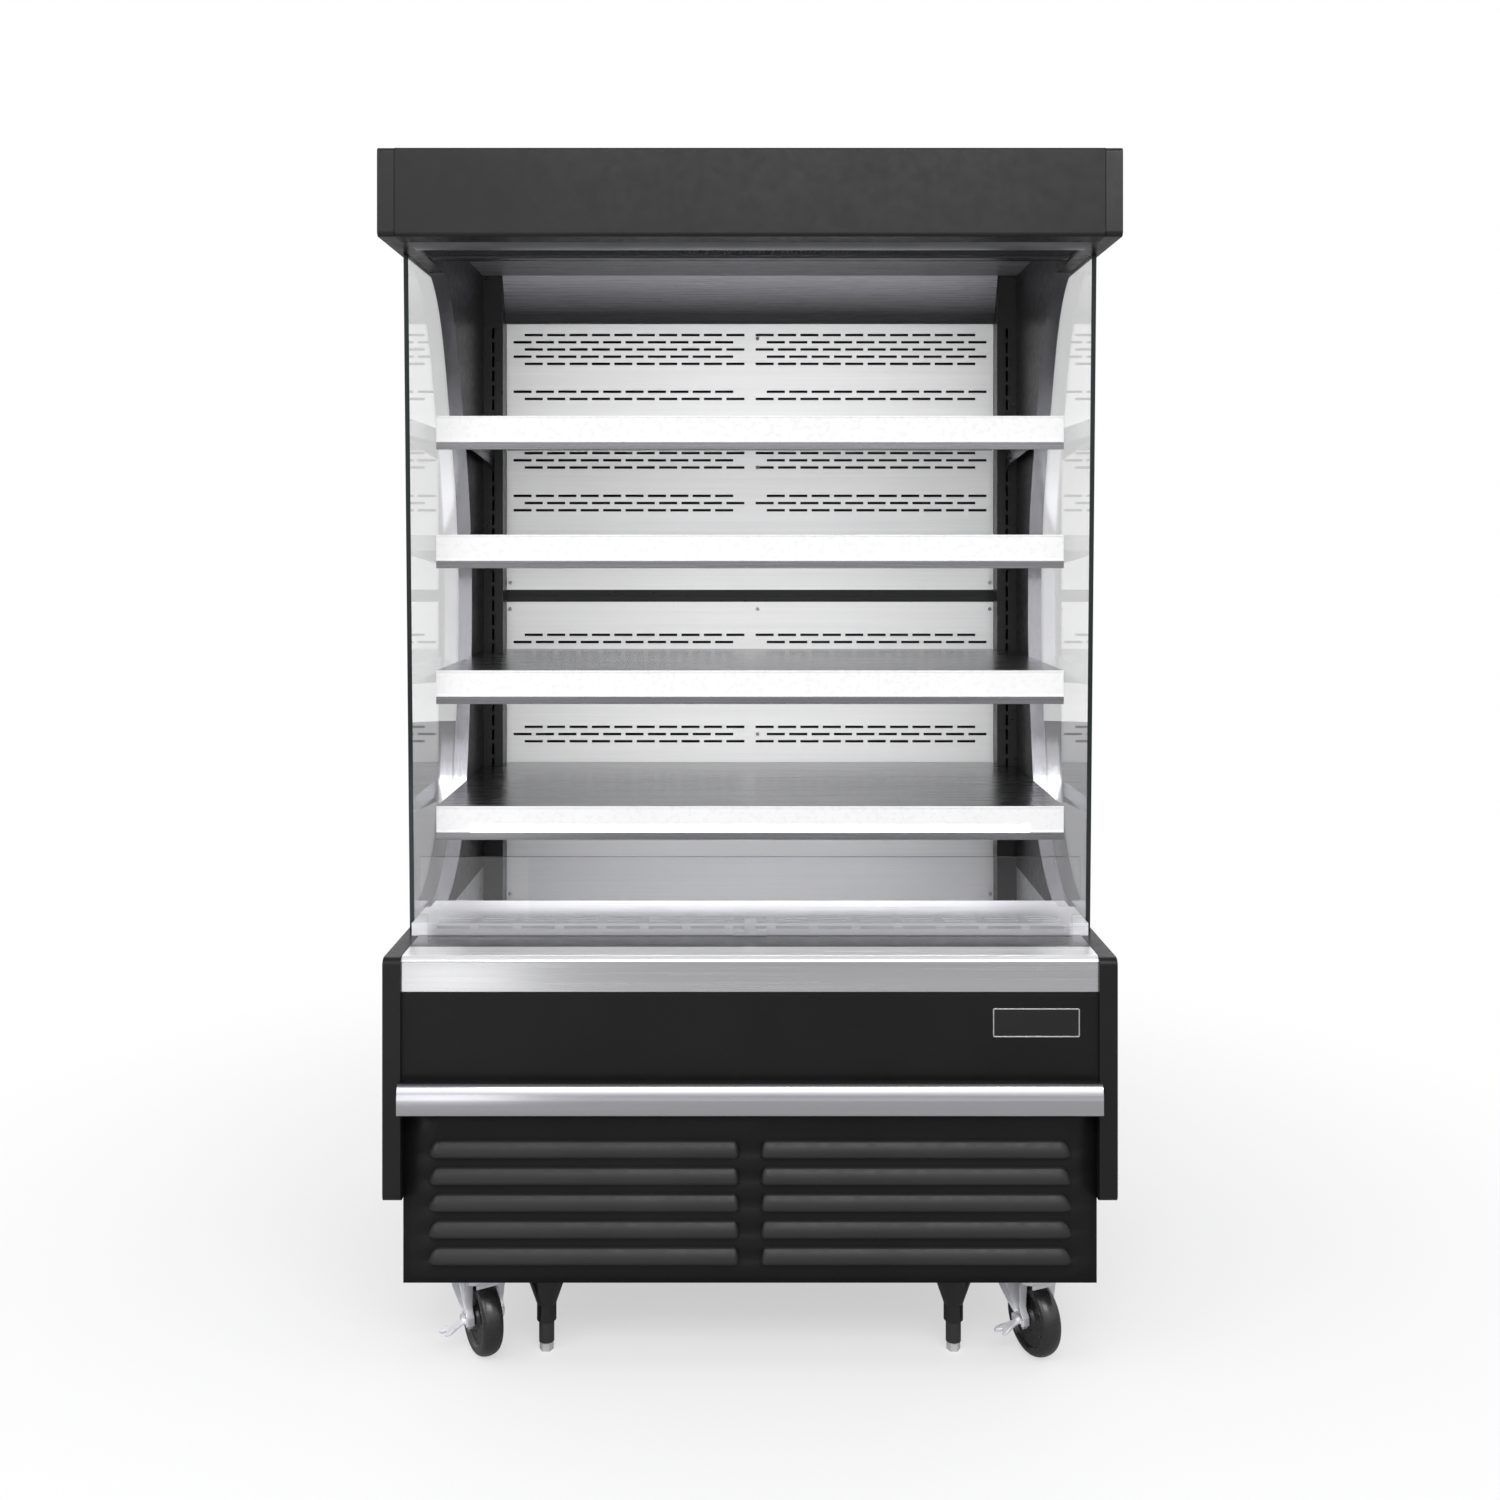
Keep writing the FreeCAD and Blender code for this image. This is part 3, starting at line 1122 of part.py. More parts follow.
def condenser_coil():
    """Finned condenser behind the louvers, with its return bends."""
    x1 = COIL_X
    x0 = x1 - COIL_LENGTH
    y0 = Y_BASE + COIL_FRONT
    y1 = y0 + COIL_DEPTH
    z0 = Z_BASE + FRAME_PLATE + COIL_LIFT
    pieces = [box(x0, x1, y0, y1, z0, z0 + COIL_HEIGHT)]
    near = y0 + COIL_DEPTH / 4.0
    far = y1 - COIL_DEPTH / 4.0
    for z in condenser_rows():
        for x, direction in ((x0, -1), (x1, 1)):
            pieces += [tube_end(x, direction, y, z) for y in (near, far)]
            low, high = bend_span(x, direction)
            pieces.append(box(low, high, near, far, z - PIPE_LIQUID / 2.0, z + PIPE_LIQUID / 2.0))
    feet = box(x0, x1, y0, y1, Z_BASE + FRAME_PLATE, z0)
    return fuse(pieces + [feet])


def fan_axis():
    """X, Z of the condenser fan's axis and the Y of the shroud's rear face."""
    x = COIL_X - COIL_LENGTH / 2.0
    z = Z_BASE + FRAME_PLATE + COIL_LIFT + COIL_HEIGHT / 2.0
    y = Y_BASE + COIL_FRONT + COIL_DEPTH + SHROUD_DEPTH
    return x, z, y


def condenser_shroud():
    """Fan shroud on the condenser, with the motor on its three-armed spider."""
    x, z, rear = fan_axis()
    x0 = COIL_X - COIL_LENGTH
    z0 = Z_BASE + FRAME_PLATE
    z1 = z0 + COIL_LIFT + COIL_HEIGHT
    front = rear - SHROUD_DEPTH
    shell = box(x0, COIL_X, front, rear, z0, z1)
    inside = box(
        x0 + SHROUD_WALL, COIL_X - SHROUD_WALL, front, rear - SHROUD_WALL, z0 + SHROUD_WALL, z1 - SHROUD_WALL)
    along = Vector(0, 1, 0)
    mouth = cylinder(Vector(x, rear - SHROUD_WALL, z), along, FAN_RADIUS + FAN_TIP_GAP, SHROUD_WALL)
    shell = cut(shell, [inside, mouth])
    reach = FAN_RADIUS + 3.0 * FAN_TIP_GAP
    arms = []
    start = rear + FAN_HUB_HEIGHT / 2.0
    for k in range(3):
        arm = box(x - SPIDER_WIDTH / 2.0, x + SPIDER_WIDTH / 2.0, start, start + SHROUD_WALL, z, z + reach)
        foot = box(
            x - SPIDER_WIDTH / 2.0, x + SPIDER_WIDTH / 2.0, rear, start + SHROUD_WALL,
            z + reach - 2.0 * SHROUD_WALL, z + reach)
        shape = fuse([arm, foot])
        shape.rotate(Vector(x, 0, z), along, 45.0 + 90.0 * (k + (k > 0)))
        arms.append(shape)
    motor = cylinder(Vector(x, start, z), along, MOTOR_RADIUS, MOTOR_LENGTH)
    shaft_length = FAN_HUB_HEIGHT + SEAT_GAP
    shaft = cylinder(Vector(x, start - shaft_length, z), along, MOTOR_SHAFT_RADIUS, shaft_length)
    return group([shell, fuse([motor, shaft] + arms)])


def condenser_fan():
    """Five-bladed fan on the motor's shaft."""
    x, z, rear = fan_axis()
    along = Vector(0, 1, 0)
    start = rear + FAN_HUB_HEIGHT / 2.0 - SEAT_GAP - FAN_HUB_HEIGHT
    hub = cylinder(Vector(x, start, z), along, FAN_HUB_RADIUS, FAN_HUB_HEIGHT)
    middle = start + FAN_HUB_HEIGHT / 2.0
    blades = []
    for k in range(FAN_BLADES):
        width = 0.6 * FAN_HUB_HEIGHT / math.sin(math.radians(FAN_BLADE_PITCH))
        blade = box(
            x - width / 2.0, x + width / 2.0, middle - FAN_BLADE_THICKNESS / 2.0,
            middle + FAN_BLADE_THICKNESS / 2.0, z + FAN_HUB_RADIUS - FAN_TIP_GAP, z + 0.97 * FAN_RADIUS)
        blade.rotate(Vector(x, middle, z), Vector(0, 0, 1), FAN_BLADE_PITCH)
        blade.rotate(Vector(x, middle, z), along, 360.0 * k / FAN_BLADES)
        blades.append(blade)
    bore = cylinder(Vector(x, start, z), along, MOTOR_SHAFT_RADIUS + RUN_GAP, FAN_HUB_HEIGHT)
    return fuse([hub] + blades).cut(bore)


def compressor():
    """Hermetic compressor can on its base plate, with the liquid receiver beside it."""
    x = COMPRESSOR_X
    y = Y_BASE + COMPRESSOR_BACK
    z = Z_BASE + FRAME_PLATE
    up = Vector(0, 0, 1)
    radius = COMPRESSOR_RADIUS
    seat = z + COMPRESSOR_FEET
    plate = box(x - radius, x + radius, y - radius, y + radius, seat - FRAME_PLATE, seat)
    can = cylinder(Vector(x, y, seat), up, radius - FRAME_PLATE, COMPRESSOR_HEIGHT)
    can = round_edges(can, radius / 2.0, lambda e: e.Closed and e.BoundBox.ZMin > Z_BASE + radius)
    terminal = box(
        x - radius / 2.0, x + radius / 2.0, y - TERMINAL_REACH, y, z + TERMINAL_LOW, z + TERMINAL_HIGH)
    feet = [
        cylinder(
            Vector(x + i * FOOT_SPREAD, y + j * FOOT_SPREAD, z), up, FOOT_RADIUS,
            COMPRESSOR_FEET - FRAME_PLATE)
        for i in (-1, 1) for j in (-1, 1)
    ]
    receiver_y = y + radius + RECEIVER_RADIUS + COMPRESSOR_FEET
    centre = Vector(x - RECEIVER_LENGTH / 2.0, receiver_y, z + RECEIVER_LIFT)
    receiver = cylinder(centre, Vector(1, 0, 0), RECEIVER_RADIUS, RECEIVER_LENGTH)
    receiver = round_edges(receiver, RECEIVER_RADIUS / 2.0, lambda e: e.Closed)
    cradle = box(
        x - RECEIVER_RADIUS, x + RECEIVER_RADIUS, receiver_y - RECEIVER_RADIUS / 2.0,
        receiver_y + RECEIVER_RADIUS / 2.0, z, z + RECEIVER_RADIUS)
    return group([fuse([can, plate, terminal] + feet), fuse([receiver, cradle])])


def evaporator_place():
    """Front and rear Y and the bottom Z of the evaporator."""
    y1 = Y_WALL - EVAPORATOR_BACK
    return y1 - EVAPORATOR_DEPTH, y1, Z_TUB + TUB_WALL


def evaporator_coil():
    """Finned evaporator under the deck, with the blower's two bearing brackets."""
    y0, y1, z0 = evaporator_place()
    half = EVAPORATOR_LENGTH / 2.0
    pieces = [box(-half, half, y0, y1, z0, z0 + EVAPORATOR_HEIGHT)]
    near = z0 + EVAPORATOR_HEIGHT / 4.0
    far = z0 + 3.0 * EVAPORATOR_HEIGHT / 4.0
    for y in [coil_row_y(row) for row in range(EVAPORATOR_ROWS)]:
        for x, direction in ((-half, -1), (half, 1)):
            pieces += [tube_end(x, direction, y, z) for z in (near, far)]
            low, high = bend_span(x, direction)
            pieces.append(box(low, high, y - PIPE_LIQUID / 2.0, y + PIPE_LIQUID / 2.0, near, far))
    coil = fuse(pieces)
    axis_y, axis_z = blower_axis()
    brackets = []
    for side in (-1, 1):
        inner = side * (half + SEAT_GAP)
        outer = inner + side * BEARING_WIDTH
        block = box(
            min(inner, outer), max(inner, outer), axis_y - BLOWER_RADIUS / 2.0, axis_y + BLOWER_RADIUS / 2.0,
            z0, axis_z + BLOWER_RADIUS / 2.0)
        bore = cylinder(
            Vector(min(inner, outer), axis_y, axis_z), Vector(1, 0, 0),
            MOTOR_SHAFT_RADIUS + RUN_GAP, BEARING_WIDTH)
        brackets.append(block.cut(bore))
    return group([coil] + brackets)


def blower_axis():
    """Y and Z of the evaporator blower's shaft."""
    y0, _, z0 = evaporator_place()
    return y0 - BLOWER_GAP, z0 + BLOWER_RADIUS + 4.0 * SHEET


def evaporator_blower():
    """Cross-flow drum: end discs, a middle disc and a ring of blades on one shaft."""
    y, z = blower_axis()
    half = EVAPORATOR_LENGTH / 2.0
    along = Vector(1, 0, 0)
    shaft_half = half + SEAT_GAP + BEARING_WIDTH
    shaft = cylinder(Vector(-shaft_half, y, z), along, MOTOR_SHAFT_RADIUS, 2.0 * shaft_half)
    discs = [
        cylinder(Vector(x, y, z), along, BLOWER_RADIUS, BLOWER_BLADE)
        for x in (-half, -BLOWER_BLADE / 2.0, half - BLOWER_BLADE)
    ]
    blades = []
    for k in range(BLOWER_BLADES):
        blade = box(
            -half, half, y - BLOWER_BLADE / 2.0, y + BLOWER_BLADE / 2.0,
            z + 0.75 * BLOWER_RADIUS, z + 0.98 * BLOWER_RADIUS)
        blade.rotate(Vector(0, y, z), along, 360.0 * k / BLOWER_BLADES)
        blades.append(blade)
    return fuse([shaft] + discs + blades)


def refrigerant_pipes():
    """Discharge, liquid and suction lines."""
    (suction_x, suction_y), (liquid_x, liquid_y) = pipe_gates()
    coil_mid = evaporator_place()[2] + EVAPORATOR_HEIGHT / 2.0
    coil_end = EVAPORATOR_LENGTH / 2.0 + BEND_STAND
    port_y = Y_BASE + COMPRESSOR_BACK
    port_z = Z_BASE + FRAME_PLATE + COMPRESSOR_FEET + COMPRESSOR_HEIGHT
    port_offset = COMPRESSOR_RADIUS / 4.0
    discharge_x = COMPRESSOR_X - port_offset
    suction_port = COMPRESSOR_X + port_offset
    low = Z_BASE + MACHINE_HEIGHT / 2.0
    high = port_z + 2.0 * PIPE_SUCTION * PIPE_BEND
    hot_end = COIL_X + BEND_STAND
    hot_y = Y_BASE + COIL_FRONT + COIL_DEPTH / 2.0
    hot_low = condenser_rows()[0]
    hot_high = condenser_rows()[-1]
    discharge = pipe([
        (discharge_x, port_y, port_z), (discharge_x, port_y, high), (discharge_x, hot_y, high),
        (discharge_x, hot_y, hot_high), (hot_end, hot_y, hot_high)], PIPE_LIQUID)
    liquid = pipe([
        (hot_end, hot_y, hot_low), (liquid_x, hot_y, hot_low), (liquid_x, liquid_y, hot_low),
        (liquid_x, liquid_y, coil_mid), (coil_end, liquid_y, coil_mid)], PIPE_LIQUID)
    suction = pipe([
        (suction_port, port_y, port_z), (suction_port, port_y, high), (suction_x, port_y, high),
        (suction_x, port_y, low), (suction_x, suction_y, low), (suction_x, suction_y, coil_mid),
        (coil_end, suction_y, coil_mid)], PIPE_SUCTION)
    return group([discharge, liquid, suction])


def control_front():
    return Y_REAR - SHEET - CONTROL_DEPTH


def switch_centre():
    """Centre of the lamp switch on the rear grille's outer face."""
    return CONTROL_X - CONTROL_WIDTH / 4.0, Y_REAR, Z_BASE + CONTROL_LIFT + CONTROL_HEIGHT / 2.0


def gland_centre():
    """Centre of the supply cord's gland on the rear grille's outer face."""
    return CONTROL_X + CONTROL_WIDTH / 4.0, Y_REAR, Z_BASE + CONTROL_LIFT + CONTROL_HEIGHT / 2.0


def control_box():
    """Electrical box behind the rear grille, with the switch bezel and the cord gland."""
    half = CONTROL_WIDTH / 2.0
    z0 = Z_BASE + CONTROL_LIFT
    body = box(CONTROL_X - half, CONTROL_X + half, control_front(), Y_REAR - SHEET, z0, z0 + CONTROL_HEIGHT)
    back = Vector(0, 1, 0)
    x, y, z = switch_centre()
    bezel = cylinder(Vector(x, y - SHEET, z), back, 1.5 * SWITCH_RADIUS, SHEET + SWITCH_STAND / 2.0)
    well_depth = SHEET + SWITCH_STAND / 2.0 + 4.0 * SWITCH_TRAVEL
    well = cylinder(
        Vector(x, y + SWITCH_STAND / 2.0 - well_depth, z), back, SWITCH_RADIUS + RUN_GAP, well_depth)
    gx, gy, gz = gland_centre()
    neck = cylinder(Vector(gx, gy - SHEET, gz), back, 0.8 * GLAND_RADIUS, SHEET)
    nut = cylinder(Vector(gx, gy, gz), back, GLAND_RADIUS, GLAND_LENGTH)
    nut = round_edges(nut, 0.3 * GLAND_RADIUS, lambda e: e.Closed and e.BoundBox.YMin > gy + SHEET)
    bore = cylinder(Vector(gx, gy - SHEET, gz), back, GLAND_BORE, SHEET + GLAND_LENGTH)
    return group([fuse([body, bezel]).cut(well), fuse([neck, nut]).cut(bore)])


def lamp_switch():
    """Push button in its bezel."""
    x, y, z = switch_centre()
    length = SWITCH_STAND + SHEET + 2.0 * SWITCH_TRAVEL
    return cylinder(Vector(x, y + SWITCH_STAND - length, z), Vector(0, 1, 0), SWITCH_RADIUS, length)


def condensate_pan():
    """Evaporation tray on the machine floor."""
    x0 = -X_SKIN + PAN_TRAY_MARGIN
    y1 = Y_REAR - PAN_TRAY_MARGIN
    z0 = Z_BASE + FRAME_PLATE
    x1 = x0 + PAN_TRAY_LENGTH
    y0 = y1 - PAN_TRAY_DEPTH
    tray = box(x0, x1, y0, y1, z0, z0 + PAN_TRAY_HEIGHT)
    inside = box(x0 + SHEET, x1 - SHEET, y0 + SHEET, y1 - SHEET, z0 + SHEET, z0 + PAN_TRAY_HEIGHT)
    return tray.cut(inside)


def panel_screws():
    """Domed screw heads on the back panels."""
    upper_bottom = Z_CHANNEL + CHANNEL_HEIGHT
    places = [
        (SCREW_OFFSET, Z_CANOPY - UPPER_DROPS[0] - PANEL_ROW_PITCH / 2.0),
        (SCREW_OFFSET, Z_CANOPY - UPPER_DROPS[2] - 2.0 * PANEL_ROW_PITCH),
        (SCREW_OFFSET, Z_CHANNEL - PANEL_ROW_PITCH),
        (SCREW_OFFSET, Z_CHANNEL - LOWER_DROPS[1] - PANEL_ROW_PITCH),
    ]
    edge = POST_INNER - EDGE_GAP - 2.0 * SCREW_RADIUS
    for z in (upper_bottom + PANEL_ROW_PITCH, Z_CHANNEL - PANEL_ROW_PITCH, Z_DECK + 2.0 * PANEL_ROW_PITCH):
        places += [(-edge, z), (edge, z)]
    heads = []
    for x, z in places:
        head = cylinder(Vector(x, Y_PANEL - SCREW_HEIGHT, z), Vector(0, 1, 0), SCREW_RADIUS, SCREW_HEIGHT)
        heads.append(round_edges(
            head, 0.6 * SCREW_HEIGHT, lambda e: e.Closed and e.BoundBox.YMax < Y_PANEL - SHEET))
    return group(heads)


# ---------------------------------------------------------------- nodes
def nodes():
    """Every sub-part under its name."""
    parts = {
        "base_frame": base_frame(),
        "side_skins": side_skins(),
        "claddings": group(both_sides(cladding())),
        "louver_panel": louver_panel(),
        "front_panel": front_panel(),
        "badge_plate": badge_plate(),
        "bumper_rail": bumper_rail(),
        "deck_nosing": deck_nosing(),
        "insulated_tub": insulated_tub(),
        "rear_grille": rear_grille(),
        "back_wall": back_wall(),
        "end_walls": group(both_sides(end_wall())),
        "end_wall_trims": end_wall_trims(),
        "side_glass": group(both_sides(side_glass())),
        "upper_back_panel": upper_back_panel(),
        "lower_back_panel": lower_back_panel(),
        "wall_uprights": wall_uprights(),
        "return_grille": return_grille(),
        "deck_pans": deck_pans(),
        "front_guard": front_guard(),
        "curtain_catch": curtain_catch(),
        "canopy_fascia": canopy_fascia(),
        "roof_panel": roof_panel(),
        "canopy_caps": group(both_sides(canopy_cap())),
        "ceiling_panel": ceiling_panel(),
        "discharge_grille": discharge_grille(),
        "canopy_lamp": canopy_lamp(),
        "curtain_cassette": curtain_cassette(),
        "curtain_roll": curtain_roll(),
        "curtain_bar": curtain_bar(),
        "condenser_coil": condenser_coil(),
        "condenser_shroud": condenser_shroud(),
        "condenser_fan": condenser_fan(),
        "compressor": compressor(),
        "evaporator_coil": evaporator_coil(),
        "evaporator_blower": evaporator_blower(),
        "refrigerant_pipes": refrigerant_pipes(),
        "control_box": control_box(),
        "lamp_switch": lamp_switch(),
        "panel_screws": panel_screws(),
    }
    for number, top in enumerate(shelf_tops(), start=1):
        parts["shelf_%d" % number] = shelf_pan(top)
        parts["shelf_%d_ticket_strip" % number] = ticket_strip(top)
    for name in caster_places():
        braked = name.startswith("front")
        parts["caster_fork_" + name] = caster_fork(name, braked)
        parts["caster_wheel_" + name] = caster_wheel(name)
        if braked:
            parts["brake_lever_" + name] = brake_lever(name)
    for name, place in leg_places().items():
        parts["levelling_foot_" + name] = leg_foot(place)
    return parts


def main():
    os.makedirs("parts", exist_ok=True)
    total = nodes()
    for name, shape in total.items():
        solids = shape.Solids
        print("%-28s solids %2d valid %s" % (name, len(solids), shape.isValid()))
        shape.exportStep("parts/%s.step" % name)
    everything = Part.makeCompound(list(total.values()))
    span = everything.BoundBox
    print("nodes %d" % len(total))
    print("box X %.1f..%.1f Y %.1f..%.1f Z %.1f..%.1f" % (
        span.XMin, span.XMax, span.YMin, span.YMax, span.ZMin, span.ZMax))


main()
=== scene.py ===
"""Open multideck display fridge: finishes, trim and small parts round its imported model, in metres."""
import math
from functools import partial

import bmesh
import bpy
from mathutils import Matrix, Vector


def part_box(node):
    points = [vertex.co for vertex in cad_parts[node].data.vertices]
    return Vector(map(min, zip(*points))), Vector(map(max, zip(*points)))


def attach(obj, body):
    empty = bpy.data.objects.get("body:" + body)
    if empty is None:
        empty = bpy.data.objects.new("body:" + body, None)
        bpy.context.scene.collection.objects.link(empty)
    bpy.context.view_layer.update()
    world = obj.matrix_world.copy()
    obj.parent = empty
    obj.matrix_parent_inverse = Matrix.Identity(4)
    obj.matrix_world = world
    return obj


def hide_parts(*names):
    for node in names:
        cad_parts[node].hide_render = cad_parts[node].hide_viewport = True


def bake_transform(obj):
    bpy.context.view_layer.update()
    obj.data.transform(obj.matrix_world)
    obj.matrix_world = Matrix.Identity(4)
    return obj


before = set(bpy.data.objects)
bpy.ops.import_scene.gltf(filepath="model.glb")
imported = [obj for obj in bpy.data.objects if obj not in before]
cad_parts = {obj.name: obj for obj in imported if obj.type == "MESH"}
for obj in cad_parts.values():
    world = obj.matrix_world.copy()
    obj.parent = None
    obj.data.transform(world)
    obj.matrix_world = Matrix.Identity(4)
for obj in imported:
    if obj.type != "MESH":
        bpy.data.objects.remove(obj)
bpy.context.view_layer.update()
SCENE = bpy.context.scene
CABINET = "cabinet"

# ---- camera and studio
PICTURE = 1500.0  # photo's side in pixels
FOCAL = 1506.0  # focal length in the photo's pixels
HORIZON = 540.0  # photo's row at eye level
EYE = (0.0, -2.8965, 1.392)
SENSOR = 36.0
WHITE = (1.0, 1.0, 1.0, 1.0)
ROOM_STRENGTH = 1.15
ROOM_TONES = (  # (share of the way from below to overhead, room's brightness there)
    (0.0, 0.5), (0.5, 0.46), (0.58, 0.62), (0.66, 1.1), (0.8, 1.1), (0.9, 0.35), (1.0, 0.25))
FLOOR_RADIUS = 9.0
FLOOR_SIDES = 96
FLOOR_WHITE = 0.55  # share of white beside the cabinet, to the eye
FLOOR_FADE = (1.0, 2.3)  # distances from the middle between which the floor turns white
FLOOR_TONES = (0.42, 0.85)  # floor's brightness in reflections and to the eye
SOFTBOXES = (  # name, place, target, size, watts, lights matte surfaces, lights glossy ones
    ("key_softbox", (0.5, -3.6, 3.4), (0.0, 0.0, 1.1), (3.2, 1.4), 80.0, True, True),
    ("fill_softbox", (-2.8, -2.6, 2.2), (0.0, 0.0, 0.9), (1.4, 2.2), 22.0, True, True),
    ("overhead_softbox", (0.0, -0.6, 4.2), (0.0, 0.0, 1.0), (2.4, 2.0), 40.0, True, False),
    ("opening_light", (0.0, -0.185, 1.35), (0.0, 1.0, 1.35), (1.08, 1.03), 29.0, True, False),
    ("deck_light", (0.0, -0.2, 0.87), (0.0, 1.0, 0.74), (1.0, 0.12), 2.2, True, False),
    ("low_strip", (-0.80, -1.9, 0.3), (-0.5, -0.4, 0.6), (0.35, 0.6), 0.7, False, True))

# ---- places of finishes
EDGE_SOFTENING = 0.0011  # how round a folded or trimmed edge looks
SEAM = 0.0016  # width of a dark joint between two sheets
CANOPY_JOINT = 0.5795  # joint of canopy front and cap, from the middle
BACK_SEAMS = (-0.2, 0.2)  # joints across the back wall
BACK_PAINTED_SHADE = 0.41  # the back wall is painted near-black before this y, a painted shade behind the slotted panels
PAN_UNDERSIDE = 0.1549  # leg sockets and caster plates lie below it
PLATES_FROM = 0.41  # caster plates lie further out than this
FOOT_PAD = 0.0151  # top of a foot's plated pad
TRIM_PAINTED_SHADE = (1.52, 1.72)  # heights between which the wall strip's painted shade sets in, from bright to dark under the canopy
NOSE_PAINTED_HIGHLIGHT = (0.0006, 0.058)  # edges, behind the nosing's face, of the band that carries a painted highlight
RAIL_PAINTED_SHADE = 0.0035  # height of the painted shade along the rail's back edge

# ---- louvers
SHEET = 0.0015
LOUVER_ROWS = 5
LOUVER_LENGTH = 0.520
LOUVER_HEIGHT = 0.0266
LOUVER_PITCH = 0.0444
LOUVER_BOTTOM = 0.034
LOUVER_GAP = 0.034
LOUVER_DEPTH = 0.0108
LOUVER_ENDS = (0.026, 0.012)  # lengths over which a hood's outer and inner ends round down
LOUVER_INSET = 0.018  # the sheet's opening, in from a hood's ends
LOUVER_OPENING = 0.6  # the opening's share of a hood's height
LOUVER_SKIN = 0.0012
HOOD_STATIONS = 9
HOOD_SPANS = 8
HOOD_ROWS = 8
HOOD_CROWDING = 1.5  # exponents: stations towards an end, fullness of an end and of the front
HOOD_END = 3.2
HOOD_FRONT = 2.2

# ---- bumper rail
RAIL_BODY = 0.024
RAIL_FACE = 0.0265  # upright lower face of the rail
RAIL_FOOT = (0.0035, 0.003)  # round at the face's foot: its centre behind the front, its radius
RAIL_ROUND = (0.0008, 0.0135)  # rounded upper face: its start behind the front, its depth
RAIL_STEPS = (4, 10)  # steps of the two rounds
RAIL_BRACKETS = 4
RAIL_BRACKET_WIDTH = 0.060
RAIL_BRACKET_FOOT = 0.0055  # bracket's foot above the rail's foot

# ---- nosing, badge, strips, glass, curtain
NOSE_ROUND = (0.014, 0.010)  # depth and height of the rounded edge
NOSE_STEPS = 12
NOSE_HEM = 0.012
BADGE_ROUND = 0.003  # corner's radius, and the least one inside the rim
BADGE_ROUND_LEAST = 0.001
BADGE_RIM = 0.0022
BADGE_EASE = 0.0003  # depth of the rim's eased edges
BADGE_CHAMFER = 0.0004  # width of the outer one
BADGE_FIELD = 0.0007
STRIP_RAIL = 0.0026
STRIP_RECESS = 0.0009
STRIP_SLOPE = 0.001
GLASS_FOOT = 0.165  # pane's front edge behind the base front, at its foot
GLASS_HEAD = 0.115
GLASS_EDGE = 0.0015
GLASS_GAP = 0.0005  # between the ledge's end and the pane
CURTAIN_MARGIN = 0.0025  # the cloth's side in from the bar's end
CURTAIN_CELLS = (24, 8)  # cells down and across
FILTER_DROP = 0.0165  # how far the filter turns down behind the ledge's front
FILTER_SHEET = 0.0012
FILTER_GAP = 0.0004
FILTER_INSET = 0.006

# ---- casters
CASTERS = {  # kingpin's x and y, heading in degrees
    "front_left": (-0.474, -0.2885, -60.0), "front_right": (0.474, -0.2885, -67.0),
    "rear_left": (-0.474, 0.3345, 64.0), "rear_right": (0.474, 0.3345, 58.0)}
WHEEL_RADIUS = 0.0635
WHEEL_TRAIL = 0.032
WHEEL_FACETS = 72
CHEEK_NEAR = 0.020  # cheek's inner face from the wheel's middle
CHEEK_PLATE = 0.0026
CHEEK_FOLD = (0.001, 0.003)  # the two steps of its folds
CHEEK_ROWS = (  # height, back edge, front edge, depths of the back and front flanges
    (0.1310, -0.032, 0.044, 0.017, 0.017), (0.1150, -0.030, 0.043, 0.017, 0.016),
    (0.1000, -0.022, 0.041, 0.016, 0.015), (0.0880, -0.012, 0.040, 0.013, 0.014),
    (0.0790, -0.004, 0.044, 0.011, 0.014), (0.0730, 0.003, 0.050, 0.009, 0.014),
    (0.0640, 0.010, 0.050, 0.006, 0.012), (0.0560, 0.017, 0.046, 0.005, 0.010), (0.0510, 0.022, 0.042, 0.004, 0.009))
WHEEL_SIDE = (  # (radius, distance from the wheel's middle) from the bore to the rim
    (0.00505, 0.018), (0.0100, 0.018), (0.0170, 0.0172), (0.0185, 0.0160), (0.0200, 0.0125), (0.0225, 0.0115),
    (0.0420, 0.0115), (0.0445, 0.0125), (0.0460, 0.0150), (0.0475, 0.0172))
TREAD_HALF = (  # the same, from the rim over the shoulder to the middle of the tread
    (0.0492, 0.0179), (0.0510, 0.0180), (0.0535, 0.0177), (0.0560, 0.0168), (0.0582, 0.0152), (0.0600, 0.0130),
    (0.0613, 0.0104), (0.0623, 0.0074), (0.0630, 0.0040), (0.0633, 0.0))
CROWN_MIDDLE = 0.011  # crown's middle ahead of the kingpin
CROWN_HALF = (0.048, 0.039)
CROWN_RINGS = ((0.1290, 0.0), (0.1310, 0.0), (0.1440, 0.002), (0.1480, 0.006), (0.1497, 0.012))
CROWN_SIDES = 40
CROWN_SQUARE = 0.7  # exponent that squares the crown's plan
CROWN_LIP = 0.1225  # lower edge of the lip
CROWN_LIP_HALF = 0.020
CROWN_LIP_BACK = (0.0032, 0.0004)  # lip's two faces behind the crown's front
CROWN_LIP_INTO = 0.002  # how far the lip reaches into the crown
AXLE_RADIUS = 0.005
DOME_NUT = (  # (radius, distance out from the cheek) from the cap to the skirt
    (0.0012, 0.0085), (0.004, 0.0078), (0.006, 0.006), (0.0068, 0.0042), (0.0082, 0.004), (0.0082, 0.0008),
    (0.0095, 0.0), (0.0012, 0.0))
PEDAL_PIN = 0.030  # pin's distance from the wheel's middle
PEDAL_EARS = (-0.0163, 0.0133)  # where the two ears that hold the pin start
PEDAL_EAR = (0.003, 0.005)  # an ear's thickness and half its side
PEDAL_BARREL_START = 0.013  # barrel's end behind the axle
